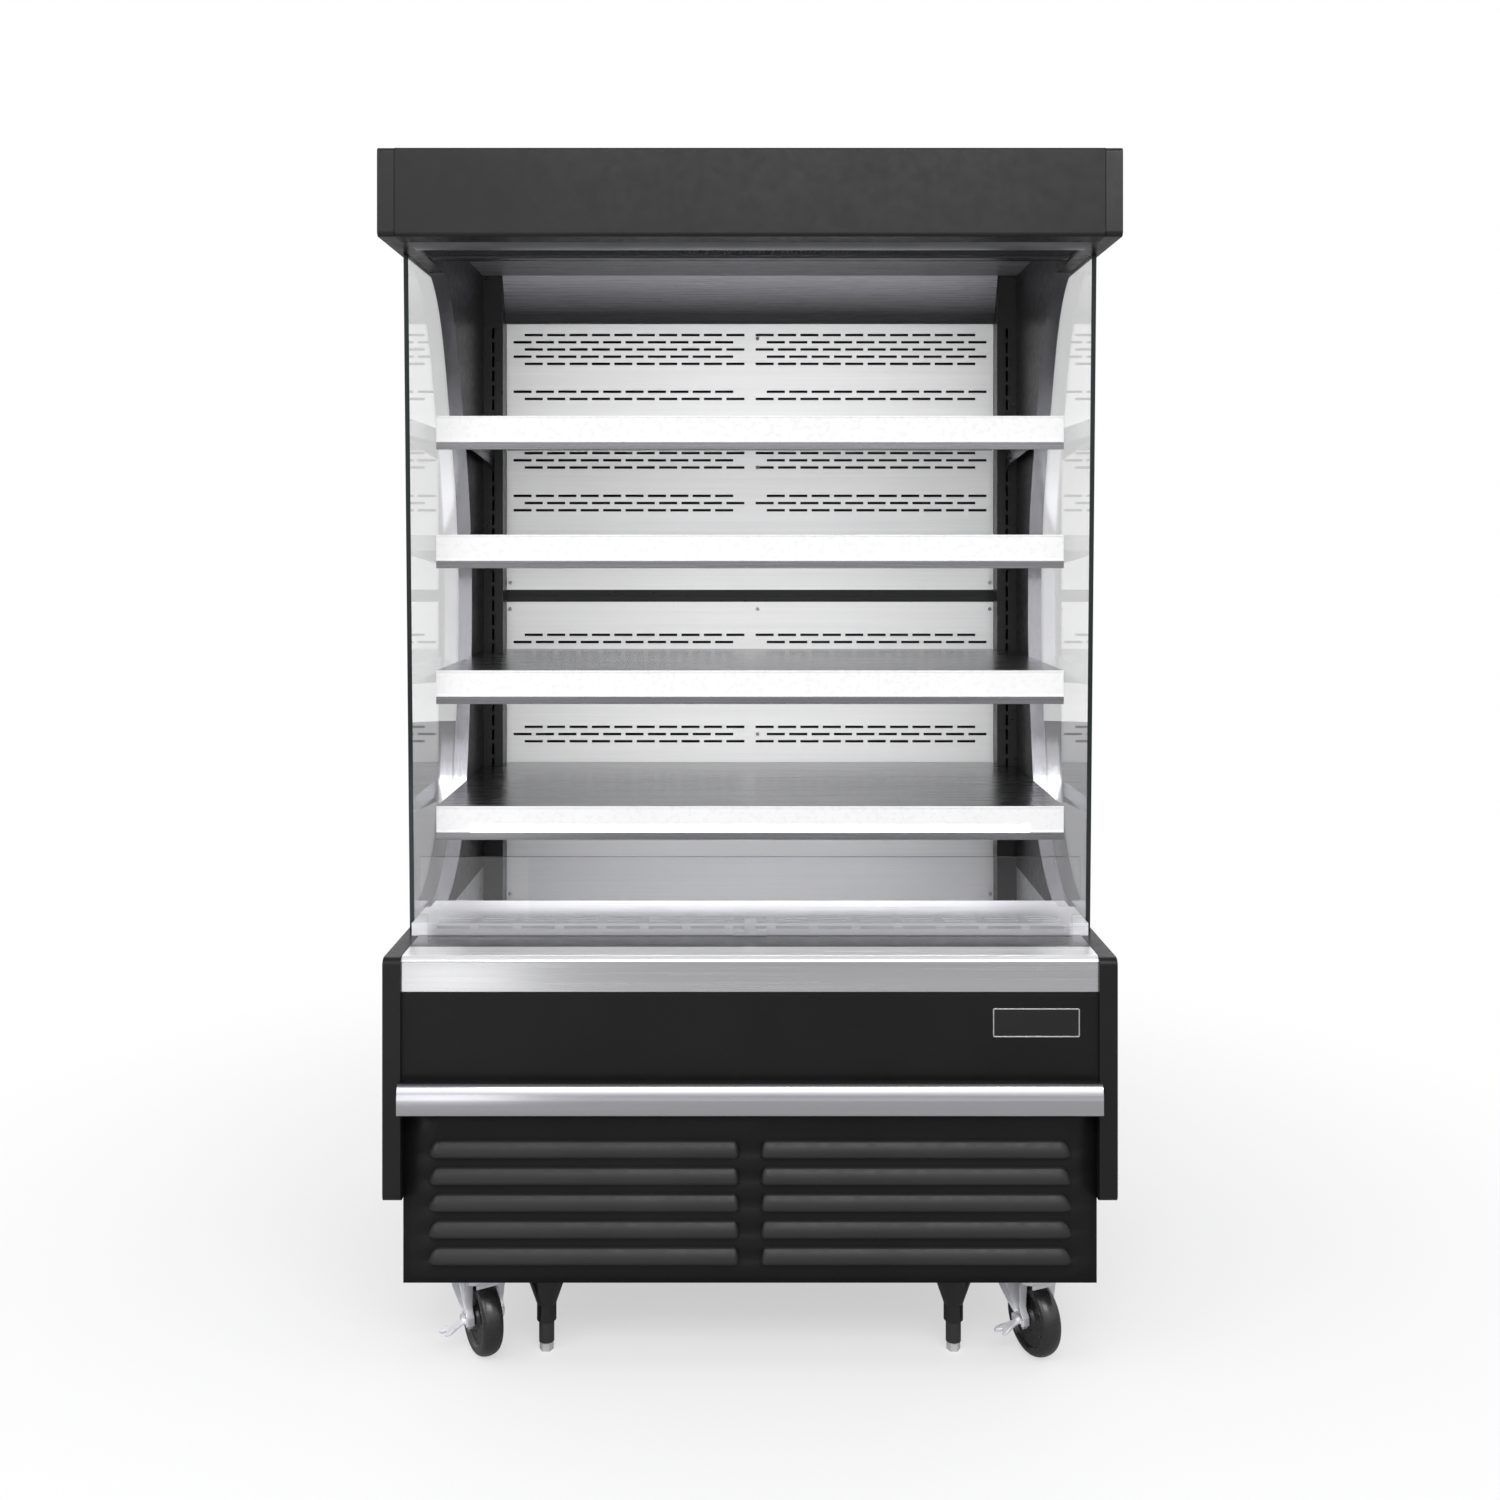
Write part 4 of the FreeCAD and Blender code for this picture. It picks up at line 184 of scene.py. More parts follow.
PEDAL_BARREL = (  # (radius, distance along the pin)
    (0.0028, 0.0), (0.0046, 0.0), (0.005, 0.0006), (0.005, 0.0254), (0.0046, 0.026), (0.0028, 0.026))
PEDAL_KNOB_OUT = 0.002
PEDAL_KNOB = (  # (radius, height) from the top
    (0.0008, 0.0066), (0.0035, 0.006), (0.0058, 0.0038), (0.0066, 0.0), (0.0058, -0.0038),
    (0.0035, -0.006), (0.0008, -0.0066))
PEDAL_DROOP = 18.0
PEDAL_LAYERS = (  # (height, inset of the outline) from below
    (-0.0030, 0.0016), (-0.0018, 0.0), (0.0018, 0.0), (0.0030, 0.0016))
PEDAL_ROOT = 0.002  # where the outline starts, out from the pin
PEDAL_SPAN = (0.013, 0.03)  # half width and reach that an inset is measured against
PEDAL_OUTLINE = (  # across and out from the pin
    (-0.0060, 0.002), (-0.0055, 0.012), (-0.0080, 0.022), (-0.0125, 0.033), (-0.0130, 0.041), (-0.0105, 0.0455),
    (-0.0065, 0.0445), (-0.0025, 0.0375), (0.0015, 0.0350), (0.0055, 0.0375), (0.0090, 0.0410), (0.0125, 0.0395),
    (0.0128, 0.0330), (0.0090, 0.0230), (0.0058, 0.0120), (0.0060, 0.002))

# ---- outlet comb and screws
COMB_CELL = 0.008
COMB_WALL = 0.0004
COMB_FRAME = 0.003
SCREW_HEAD = (  # (share of the radius, share of the height) from the recess to the foot
    (0.06, 0.4), (0.3, 0.45), (0.36, 1.0), (0.75, 0.85), (1.0, 0.35), (1.0, 0.0), (0.06, 0.0))
SCREW_RADIUS = 0.0042
SCREW_HEIGHT = 0.0018
SCREW_MARGIN = 0.012
REAR_SCREWS = 7
SIDE_SCREWS = 5


# ---- node trees
def emptied(owner):
    """Node tree of a material or world, with no nodes in it."""
    owner.use_nodes = True
    owner.node_tree.nodes.clear()
    return owner.node_tree


def put(tree, kind, inputs=None, **settings):
    """New node; its inputs are linked to sockets or set to values."""
    node = tree.nodes.new(kind)
    for key, value in settings.items():
        setattr(node, key, value)
    for key, value in (inputs or {}).items():
        if isinstance(value, bpy.types.NodeSocket):
            tree.links.new(value, node.inputs[key])
        else:
            node.inputs[key].default_value = value
    return node


# ---- finishes
class Finish:
    """One Principled shader whose patterns lie in object coordinates."""

    def __init__(self, name, **fixed):
        self.material = bpy.data.materials.new(name)
        self.tree = emptied(self.material)
        self.shader = self.add("ShaderNodeBsdfPrincipled")
        self.add("ShaderNodeOutputMaterial", {"Surface": self.shader.outputs["BSDF"]})
        self.place = self.add("ShaderNodeTexCoord").outputs["Object"]
        for socket, value in fixed.items():
            self.shader.inputs[socket.replace("_", " ")].default_value = value

    def add(self, kind, inputs=None, **settings):
        return put(self.tree, kind, inputs, **settings)

    def feed(self, socket, value):
        self.tree.links.new(value, self.shader.inputs[socket])

    def noise(self, scale, detail=3.0, stretch=(1.0, 1.0, 1.0)):
        """Cloudy pattern, about 0.3 to 0.7; stretch gives the number of clouds a metre along each axis."""
        mapping = self.add("ShaderNodeMapping", {"Vector": self.place, "Scale": stretch})
        texture = self.add(
            "ShaderNodeTexNoise", {"Vector": mapping.outputs["Vector"], "Scale": scale, "Detail": detail})
        return texture.outputs["Fac"]

    def spread(self, value, low, high, start=0.3, end=0.7):
        """The pattern mapped from start..end to low..high."""
        node = self.add("ShaderNodeMapRange", {
            "Value": value, "From Min": start, "From Max": end, "To Min": low, "To Max": high})
        return node.outputs["Result"]

    def tinted(self, value, dark, light, start=0.3, end=0.7):
        """Colour between dark and light, by the pattern."""
        ramp = self.add("ShaderNodeValToRGB", {"Fac": value})
        first, last = ramp.color_ramp.elements
        first.position, last.position = start, end
        first.color, last.color = dark, light
        return ramp.outputs["Color"]

    def mixed(self, share, first, second, blend="MIX"):
        """Colour between two others, or another blend of them."""
        node = self.add("ShaderNodeMix", {0: share, 6: first, 7: second}, data_type="RGBA", blend_type=blend)
        return node.outputs[2]

    def calc(self, operation, first, second=0.0):
        node = self.add("ShaderNodeMath", {0: first, 1: second}, operation=operation)
        return node.outputs["Value"]

    def along(self, axis):
        """The object coordinate along x, y or z."""
        return self.add("ShaderNodeSeparateXYZ", {"Vector": self.place}).outputs[axis.upper()]

    def relief(self, height, depth, softening=EDGE_SOFTENING):
        """Bumps of the pattern over softened edges; returns the edge mask, 1 along edges."""
        rounded = self.add("ShaderNodeBevel", {"Radius": softening}, samples=4).outputs["Normal"]
        bump = self.add("ShaderNodeBump", {
            "Height": height, "Strength": 1.0, "Distance": depth, "Normal": rounded})
        self.feed("Normal", bump.outputs["Normal"])
        flat = self.add("ShaderNodeNewGeometry").outputs["Normal"]
        turned = self.add("ShaderNodeVectorMath", {0: rounded, 1: flat}, operation="DOT_PRODUCT")
        return self.spread(turned.outputs["Value"], 1.0, 0.0, 0.75, 0.99)


def shade(colour, factor):
    return tuple(channel * factor for channel in colour[:3]) + (1.0,)


def grey(value, blue=1.0):
    return value, value, value * blue, 1.0


def jointed(made, colour, place):
    """The colour, nearly black in the joint at x = place on both sides."""
    away = made.calc("ABSOLUTE", made.calc("SUBTRACT", made.calc("ABSOLUTE", made.along("x")), place))
    return made.mixed(made.spread(away, 1.0, 0.0, 0.6 * SEAM, SEAM), colour, grey(0.002))


def powder_coat(name, colour, roughness, specular=0.3, edge_highlight=2.6, peel=0.00002, joint=None):
    """Powder-coated sheet: fine orange peel, with a painted highlight along the folds."""
    made = Finish(name, Specular_IOR_Level=specular)
    cloud = made.noise(7.0)
    edges = made.relief(made.noise(850.0, 2.0), peel)
    body = made.tinted(cloud, shade(colour, 0.9), shade(colour, 1.1))
    # Painted highlight: the colour lightens along edges and folds, by the edge mask.
    coat = made.mixed(made.calc("MULTIPLY", edges, 0.5), body, shade(colour, edge_highlight))
    made.feed("Base Color", jointed(made, coat, joint) if joint else coat)
    made.feed("Roughness", made.spread(made.noise(60.0), roughness - 0.05, roughness + 0.06))
    return made


def moulded(name, colour, roughness, specular=0.45, grain=0.00003, vary=0.08):
    """Moulded plastic with a fine spark-eroded grain."""
    made = Finish(name, Specular_IOR_Level=specular)
    edges = made.relief(made.noise(1600.0, 2.0), grain, 0.0018)
    body = made.tinted(made.noise(12.0), shade(colour, 1.0 - vary), shade(colour, 1.0 + vary))
    # Painted highlight: the colour lightens along the edges.
    made.feed("Base Color", made.mixed(made.calc("MULTIPLY", edges, 0.4), body, shade(colour, 1.8)))
    made.feed("Roughness", made.spread(made.noise(90.0), roughness - 0.04, roughness + 0.06))
    return made


def brushed(name, colour, roughness, axis="x", depth=0.000012, metallic=1.0):
    """Brushed stainless steel: fine scratches along one axis and faint long bands."""
    made = Finish(name, Metallic=metallic)
    fine = {a: 1300.0 for a in "xyz"}
    broad = {a: 170.0 for a in "xyz"}
    fine[axis], broad[axis] = 6.0, 1.6
    scratches = made.noise(1.0, 3.0, tuple(fine.values()))
    bands = made.noise(1.0, 4.0, tuple(broad.values()))
    both = made.calc("MULTIPLY", made.calc("ADD", scratches, bands), 0.5)
    made.relief(both, depth)
    made.feed("Base Color", made.tinted(both, shade(colour, 0.94), shade(colour, 1.04)))
    made.feed("Roughness", made.spread(both, roughness - 0.05, roughness + 0.06))
    return made


def toned(made, tone):
    """Multiply a finish's base colour by a tone."""
    base = made.shader.inputs["Base Color"].links[0].from_socket
    made.feed("Base Color", made.mixed(1.0, base, tone, "MULTIPLY"))
    return made


def nosing_steel(name):
    """Brushed nosing: painted shade on the rear of the top, a painted highlight band along its front, satin face."""
    made = brushed(name, grey(0.9, 1.01), 0.24)
    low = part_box("deck_nosing")[0]
    y = made.along("y")
    face, highlight_end = low.y + NOSE_PAINTED_HIGHLIGHT[0], low.y + NOSE_PAINTED_HIGHLIGHT[1]
    front = made.spread(y, 1.0, 0.0, face, face + 0.001)
    # Painted highlight on the band along the top's front, painted shade on the rear of the top; the band is also
    # less metallic so it looks brighter.
    top = made.mixed(made.spread(y, 0.0, 1.0, highlight_end, highlight_end + 0.008), grey(0.95), grey(0.25, 1.02))
    made.feed("Metallic", made.calc("MAXIMUM", front, made.spread(y, 0.45, 1.0, highlight_end, highlight_end + 0.008)))
    return toned(made, made.mixed(front, top, grey(0.78, 1.01)))


def rail_aluminium(name):
    """Extruded rail with painted light: a painted highlight on the round, the lower face toned darker, painted shade
    along the back edge.
    """
    made = brushed(name, grey(0.72, 1.04), 0.2)
    low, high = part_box("bumper_rail")
    crest, back = low.z + RAIL_FACE, high.z - RAIL_PAINTED_SHADE
    z = made.along("z")
    # Painted highlight on the round, painted shade along the back edge; below the crest the lower face is toned
    # darker.
    painted_upper = made.mixed(made.spread(z, 0.0, 1.0, back - 0.002, back + 0.001), grey(1.0), grey(0.4))
    return toned(made, made.mixed(made.spread(z, 1.0, 0.0, crest - 0.002, crest), painted_upper, grey(0.76)))


def trim_mirror(name):
    """Bright edge strip of the end walls, with painted shade where it curves under the canopy."""
    made = brushed(name, grey(0.85, 1.03), 0.12, "z", 0.000002)
    # Painted shade: the strip's colour darkens between these heights, under the canopy.
    fade = made.spread(made.along("z"), 0.0, 1.0, *TRIM_PAINTED_SHADE)
    return toned(made, made.mixed(fade, grey(0.6, 1.03), grey(0.2, 1.03)))


def plated(name, colour, roughness, metallic=0.9):
    """Zinc-plated or cast metal with a cloudy surface."""
    made = Finish(name, Metallic=metallic)
    cloud = made.noise(45.0, 4.0)
    made.relief(made.noise(700.0, 3.0), 0.00003)
    made.feed("Base Color", made.tinted(cloud, shade(colour, 0.86), shade(colour, 1.05)))
    made.feed("Roughness", made.spread(cloud, roughness - 0.06, roughness + 0.08))
    return made


def galvanised(name, colour, seams=(), skin=None):
    """Hot-dipped sheet with its spangle; dark in the joints at the x of seams, and near-black before the y of skin,
    a painted shade behind the slotted panels.
    """
    made = Finish(name)
    cells = made.add("ShaderNodeTexVoronoi", {"Vector": made.place, "Scale": 85.0})
    flakes = made.add("ShaderNodeSeparateColor", {"Color": cells.outputs["Color"]}).outputs["Red"]
    dark = 0.0
    for seam in seams:
        away = made.calc("ABSOLUTE", made.calc("SUBTRACT", made.along("x"), seam))
        dark = made.calc("MAXIMUM", dark, made.spread(away, 1.0, 0.0, SEAM / 2.0, SEAM))
    grooves = made.calc("MULTIPLY", dark, -60.0)
    # Painted shade: before the y of skin the sheet turns near-black and loses its metal, standing for the shade
    # behind the slotted panels.
    if skin is not None:
        dark = made.calc("MAXIMUM", dark, made.calc("LESS_THAN", made.along("y"), skin))
    made.relief(made.calc("ADD", flakes, grooves), 0.00001)
    spangle = made.tinted(flakes, shade(colour, 0.78), shade(colour, 1.06), 0.0, 1.0)
    made.feed("Base Color", made.mixed(dark, spangle, grey(0.002)))
    made.feed("Metallic", made.spread(dark, 0.85, 0.0, 0.0, 1.0))
    made.feed("Roughness", made.spread(flakes, 0.34, 0.52, 0.0, 1.0))
    return made


def clear(name, colour, index, smudge):
    """Clear glass or acrylic with faint smears in its gloss."""
    made = Finish(name, Transmission_Weight=1.0, IOR=index, Base_Color=colour)
    made.feed("Roughness", made.spread(made.noise(9.0, 4.0), 0.0, smudge, 0.45, 0.75))
    return made


def coil_fins(name):
    """Pressed aluminium fins, edge on, with painted shade in the gaps between them."""
    made = Finish(name, Metallic=0.9)
    wave = made.add("ShaderNodeTexWave", {"Vector": made.place, "Scale": 143.0}, bands_direction="X")
    fins_and_shaded_gaps = wave.outputs["Fac"]
    made.relief(fins_and_shaded_gaps, 0.0006)
    # Dark bands are painted shade between the fins.
    made.feed("Base Color", made.tinted(fins_and_shaded_gaps, grey(0.08), grey(0.62), 0.1, 0.9))
    made.feed("Roughness", made.spread(made.noise(200.0), 0.35, 0.5))
    return made


def woven(name, colour):
    """Woven blind cloth: warp and weft threads."""
    made = Finish(name, Roughness=0.8, Sheen_Weight=0.15)
    threads = [
        made.add("ShaderNodeTexWave", {"Vector": made.place, "Scale": 260.0}, bands_direction=way).outputs["Fac"]
        for way in ("X", "Z")]
    weave = made.calc("MULTIPLY", threads[0], threads[1])
    made.relief(weave, 0.0001)
    made.feed("Base Color", made.tinted(weave, shade(colour, 0.82), shade(colour, 1.05), 0.0, 1.0))
    return made


def duct(name):
    """Satin duct sheet with painted shade: darker towards the lower end of its slope, with faint painted bands of
    light and dark.
    """
    made = Finish(name, Metallic=0.7)
    low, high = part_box("ceiling_panel")
    scratches = made.noise(1.0, 3.0, (6.0, 900.0, 900.0))
    made.relief(scratches, 0.00001)
    # Painted shade: the colour darkens towards the lower end of the slope, and noise adds faint painted bands of
    # light and dark.
    rise = made.spread(made.along("z"), 0.0, 1.0, low.z, high.z)
    duct_painted_shade = made.calc("ADD", rise, made.calc("MULTIPLY", made.noise(1.0, 2.0, (1.4, 6.0, 14.0)), 0.16))
    made.feed("Base Color", made.tinted(duct_painted_shade, grey(0.035, 1.06), grey(0.26, 1.06), 0.3, 1.0))
    made.feed("Roughness", made.spread(scratches, 0.24, 0.34))
    return made


def opal(name):
    """Ribbed opal diffuser."""
    made = Finish(name, Roughness=0.32, Emission_Color=(0.93, 0.96, 1.0, 1.0), Emission_Strength=0.02)
    ribs = made.add("ShaderNodeTexWave", {"Vector": made.place, "Scale": 110.0}, bands_direction="Y")
    made.relief(ribs.outputs["Fac"], 0.0001)
    made.feed("Base Color", made.tinted(made.noise(20.0), grey(0.09, 1.06), grey(0.12, 1.06)))
    return made


def evenly(colour, roughness, metallic):
    """One finish for by_height, its numbers as greys."""
    return colour, grey(roughness), grey(metallic)


def by_height(name, height, low, high, far=None, outer=None):
    """Finishes below and above a height in one piece; outer is the one below and further out than x = far."""
    made = Finish(name)
    above = made.calc("GREATER_THAN", made.along("z"), height)
    made.relief(made.noise(900.0, 2.0), 0.00002)
    speckle = made.spread(made.noise(40.0), 0.0, 0.18)
    for index, socket in enumerate(("Base Color", "Roughness", "Metallic")):
        below = low[index]
        if outer:
            outboard = made.calc("GREATER_THAN", made.calc("ABSOLUTE", made.along("x")), far)
            below = made.mixed(outboard, below, outer[index])
        joined = made.mixed(above, below, high[index])
        if socket != "Metallic":
            joined = made.mixed(speckle, joined, shade(high[index], 1.25))
        made.feed(socket, joined)
    return made


FINISHES = {
    "black_coat": powder_coat("black_powder_coat", grey(0.009, 1.06), 0.42, 0.18),
    # The hoods are pressed from the black sheet: their lighter coat is a painted sheen for their upturned faces.
    "louver_painted_sheen": powder_coat("louver_powder_coat_painted_sheen", grey(0.021, 1.04), 0.4, 0.3),
    "canopy_coat": powder_coat("canopy_powder_coat", grey(0.0175, 1.06), 0.45, 0.2, 1.9, joint=CANOPY_JOINT),
    "cap": powder_coat("canopy_cap_coat", grey(0.0165, 1.04), 0.36, 0.25, 4.0, joint=CANOPY_JOINT),
    "cladding": moulded("cladding_plastic", grey(0.010, 1.04), 0.36, 0.25),
    "post": powder_coat("post_black_coat", grey(0.009, 1.06), 0.32, 0.4, 1.8, 0.0),
    "nosing_steel": nosing_steel("nosing_stainless"),
    "panel_steel": brushed("back_panel_stainless", grey(0.72, 1.0), 0.33, metallic=0.5),
    "shelf_steel": brushed("shelf_stainless", grey(0.34, 1.03), 0.25),
    "wall": powder_coat("end_wall_black_coat", grey(0.010, 1.06), 0.34, 0.3, 1.6, 0.0),
    "deck_steel": brushed("deck_stainless", (0.95, 0.95, 0.99, 1.0), 0.3, metallic=0.25),
    "duct_steel": duct("duct_stainless"),
    "bright_steel": brushed("bright_trim", grey(0.7, 1.01), 0.2),
    "trim_steel": trim_mirror("wall_trim_mirror"),
    "rail_steel": rail_aluminium("rail_aluminium"),
    "zinc": plated("zinc_plating", grey(0.86, 1.04), 0.32, 0.45),
    "pedal": plated("pedal_zinc", grey(0.88, 1.03), 0.36, 0.25),
    "machined": plated("machined_steel", grey(0.6), 0.25, 1.0),
    "galvanised": galvanised("galvanised_sheet", grey(0.62, 1.02)),
    "back_sheet": galvanised("galvanised_back", grey(0.5, 1.02), BACK_SEAMS, BACK_PAINTED_SHADE),
    "glass": clear("side_pane_glass", (0.993, 0.996, 1.0, 1.0), 1.3, 0.02),
    "acrylic": clear("guard_acrylic", (0.985, 0.985, 0.995, 1.0), 1.47, 0.04),
    "white_plastic": moulded("white_plastic", grey(0.87), 0.28, 0.5, 0.00001, 0.012),
    "filter": moulded("filter_mesh", grey(0.75, 1.04), 0.6, 0.2, 0.0001),
    "comb": moulded("outlet_comb_plastic", grey(0.05, 1.03), 0.45),
    "rubber": moulded("tread_rubber", grey(0.017), 0.26, 0.6, 0.000012),
    "fan": moulded("fan_blade_plastic", grey(0.03), 0.4),
    "enamel": powder_coat("compressor_enamel", grey(0.01), 0.2, 0.5),
    "copper": plated("copper_tube", (0.74, 0.38, 0.25, 1.0), 0.28, 1.0),
    "coil": coil_fins("coil_fins"),
    "box": powder_coat("control_box_grey", grey(0.35), 0.45),
    "button": moulded("button_green", (0.02, 0.22, 0.07, 1.0), 0.3),
    "cloth": woven("curtain_cloth", grey(0.62, 1.03)),
    "aluminium": brushed("anodised_aluminium", grey(0.6), 0.3),
    "dark_bar": brushed("dark_anodised_bar", grey(0.07, 1.03), 0.35),
    "opal": opal("lamp_diffuser"),
    "badge_field": powder_coat("badge_enamel", grey(0.01), 0.2, 0.4),
    "pane_edge": moulded("dark_pane_edge", (0.012, 0.016, 0.017, 1.0), 0.12, 0.5, 0.000005),
    "floor_pan": by_height(
        "floor_pan_finishes", PAN_UNDERSIDE, evenly(grey(0.012), 0.1, 0.0), evenly(grey(0.0125), 0.42, 0.0),
        PLATES_FROM, evenly(grey(0.6), 0.3, 0.9)),
    "foot": by_height(
        "levelling_foot_finishes", FOOT_PAD, evenly(grey(0.85), 0.25, 0.5), evenly(grey(0.03), 0.24, 0.0)),
}

NODE_FINISH = {
    "base_frame": "floor_pan", "side_skins": "black_coat", "claddings": "cladding", "front_panel": "black_coat",
    "insulated_tub": "galvanised", "rear_grille": "black_coat", "back_wall": "back_sheet", "end_walls": "wall",
    "end_wall_trims": "trim_steel", "side_glass": "glass", "upper_back_panel": "panel_steel",
    "lower_back_panel": "panel_steel", "wall_uprights": "post", "return_grille": "deck_steel",
    "deck_pans": "deck_steel", "front_guard": "acrylic", "curtain_catch": "white_plastic",
    "canopy_fascia": "canopy_coat", "roof_panel": "galvanised", "canopy_caps": "cap",
    "ceiling_panel": "duct_steel", "canopy_lamp": "opal", "curtain_cassette": "canopy_coat",
    "condenser_coil": "coil", "condenser_shroud": "galvanised", "compressor": "enamel",
    "evaporator_coil": "coil", "refrigerant_pipes": "copper", "control_box": "box", "panel_screws": "machined",
    "curtain_roll": "cloth", "curtain_bar": "dark_bar", "condenser_fan": "fan",
    "evaporator_blower": "aluminium", "lamp_switch": "button",
}
FAMILY_FINISH = {"shelf": "shelf_steel", "levelling_foot": "foot"}


def dress_nodes():
    """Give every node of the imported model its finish; those that a piece stands for aren't seen."""
    for name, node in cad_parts.items():
        family = next((kind for kind in FAMILY_FINISH if name.startswith(kind)), None)
        chosen = NODE_FINISH.get(name) or FAMILY_FINISH.get(family, "black_coat")
        node.data.materials.clear()
        node.data.materials.append(FINISHES[chosen].material)


# ---- shapes
def settle(piece, stands_for=(), body=CABINET):
    """Hide the nodes that a finished piece stands for and tie the piece to its body."""
    if stands_for:
        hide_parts(*stands_for)
    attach(piece, body)


def made_of(name, shape, finish, crease=30.0):
    """Object of one closed or open shape, faces outwards, smooth up to the crease angle."""
    vertices, faces = shape
    mesh = bpy.data.meshes.new(name)
    mesh.from_pydata(vertices, [], faces)
    work = bmesh.new()
    work.from_mesh(mesh)
    bmesh.ops.remove_doubles(work, verts=work.verts, dist=1e-6)
    bmesh.ops.recalc_face_normals(work, faces=work.faces)
    work.to_mesh(mesh)
    work.free()
    mesh.polygons.foreach_set("use_smooth", [True] * len(mesh.polygons))
    mesh.set_sharp_from_angle(angle=math.radians(crease))
    mesh.materials.append(FINISHES[finish].material)
    made = bpy.data.objects.new(name, mesh)
    SCENE.collection.objects.link(made)
    return made


def softened(made, width):
    """Bevel the piece's crisp edges."""
    bevel = made.modifiers.new("edge_bevel", "BEVEL")
    bevel.width = width
    bevel.segments = 2
    bevel.limit_method = "ANGLE"
    bevel.harden_normals = True
    return made


def merged(shapes):
    """Several shapes as one list of vertices and faces."""
    vertices, faces = [], []
    for more, rings in shapes:
        start = len(vertices)
        vertices += more
        faces += [tuple(start + k for k in ring) for ring in rings]
    return vertices, faces


def moved(shape, place):
    """The shape with every point sent to place(x, y, z)."""
    vertices, faces = shape
    return [place(*point) for point in vertices], faces


def lofted(rings, closed=False):
    """Shape through rings of equal point counts, with flat ends or closed from the last ring to the first."""
    count = len(rings[0])
    vertices = [point for ring in rings for point in ring]
    faces = []
    for k in range(len(rings) if closed else len(rings) - 1):
        here, after = k * count, (k + 1) % len(rings) * count
        faces += [(here + j, here + (j + 1) % count, after + (j + 1) % count, after + j) for j in range(count)]
    if not closed:
        faces += [tuple(range(count)), tuple(range(len(vertices) - count, len(vertices)))]
    return vertices, faces


def drawn(outline, x0, x1):
    """Bar of one (y, z) outline from x0 to x1."""
    return lofted([[(x, y, z) for y, z in outline] for x in (x0, x1)])


def block(low, high):
    (x0, y0, z0), (x1, y1, z1) = low, high
    return drawn([(y0, z0), (y1, z0), (y1, z1), (y0, z1)], x0, x1)


def arc(centre, radius, first, last, steps):
    """Points of an arc, angles in degrees."""
    points = []
    for k in range(steps + 1):
        angle = math.radians(first + (last - first) * k / steps)
        points.append((centre[0] + radius * math.cos(angle), centre[1] + radius * math.sin(angle)))
    return points


def turned(profile, segments, closed=False):
    """Shape turned about the Z axis from (radius, z) points; closed joins the last point to the first."""
    angles = [2.0 * math.pi * k / segments for k in range(segments)]
    return lofted([[(r * math.cos(a), r * math.sin(a), z) for a in angles] for r, z in profile], closed)


def quarter_round(start, reach, steps):
    """Points of a quarter ellipse that leaves its start upwards and ends level."""
    angles = [math.radians(90.0 * k / steps) for k in range(steps + 1)]
    return [(start[0] + reach[0] * (1.0 - math.cos(a)), start[1] + reach[1] * math.sin(a)) for a in angles]


def punched(x_range, z_range, y, holes):
    """Flat sheet at y with rectangular holes (x0, x1, z0, z1)."""
    xs = sorted({*x_range, *(x for hole in holes for x in hole[:2])})
    zs = sorted({*z_range, *(z for hole in holes for z in hole[2:])})
    vertices = [(x, y, z) for z in zs for x in xs]
    faces = []
    for row in range(len(zs) - 1):
        for column in range(len(xs) - 1):
            x = (xs[column] + xs[column + 1]) / 2.0
            z = (zs[row] + zs[row + 1]) / 2.0
            if not any(a < x < b and c < z < d for a, b, c, d in holes):
                corner = row * len(xs) + column
                faces.append((corner, corner + 1, corner + 1 + len(xs), corner + len(xs)))
    return vertices, faces


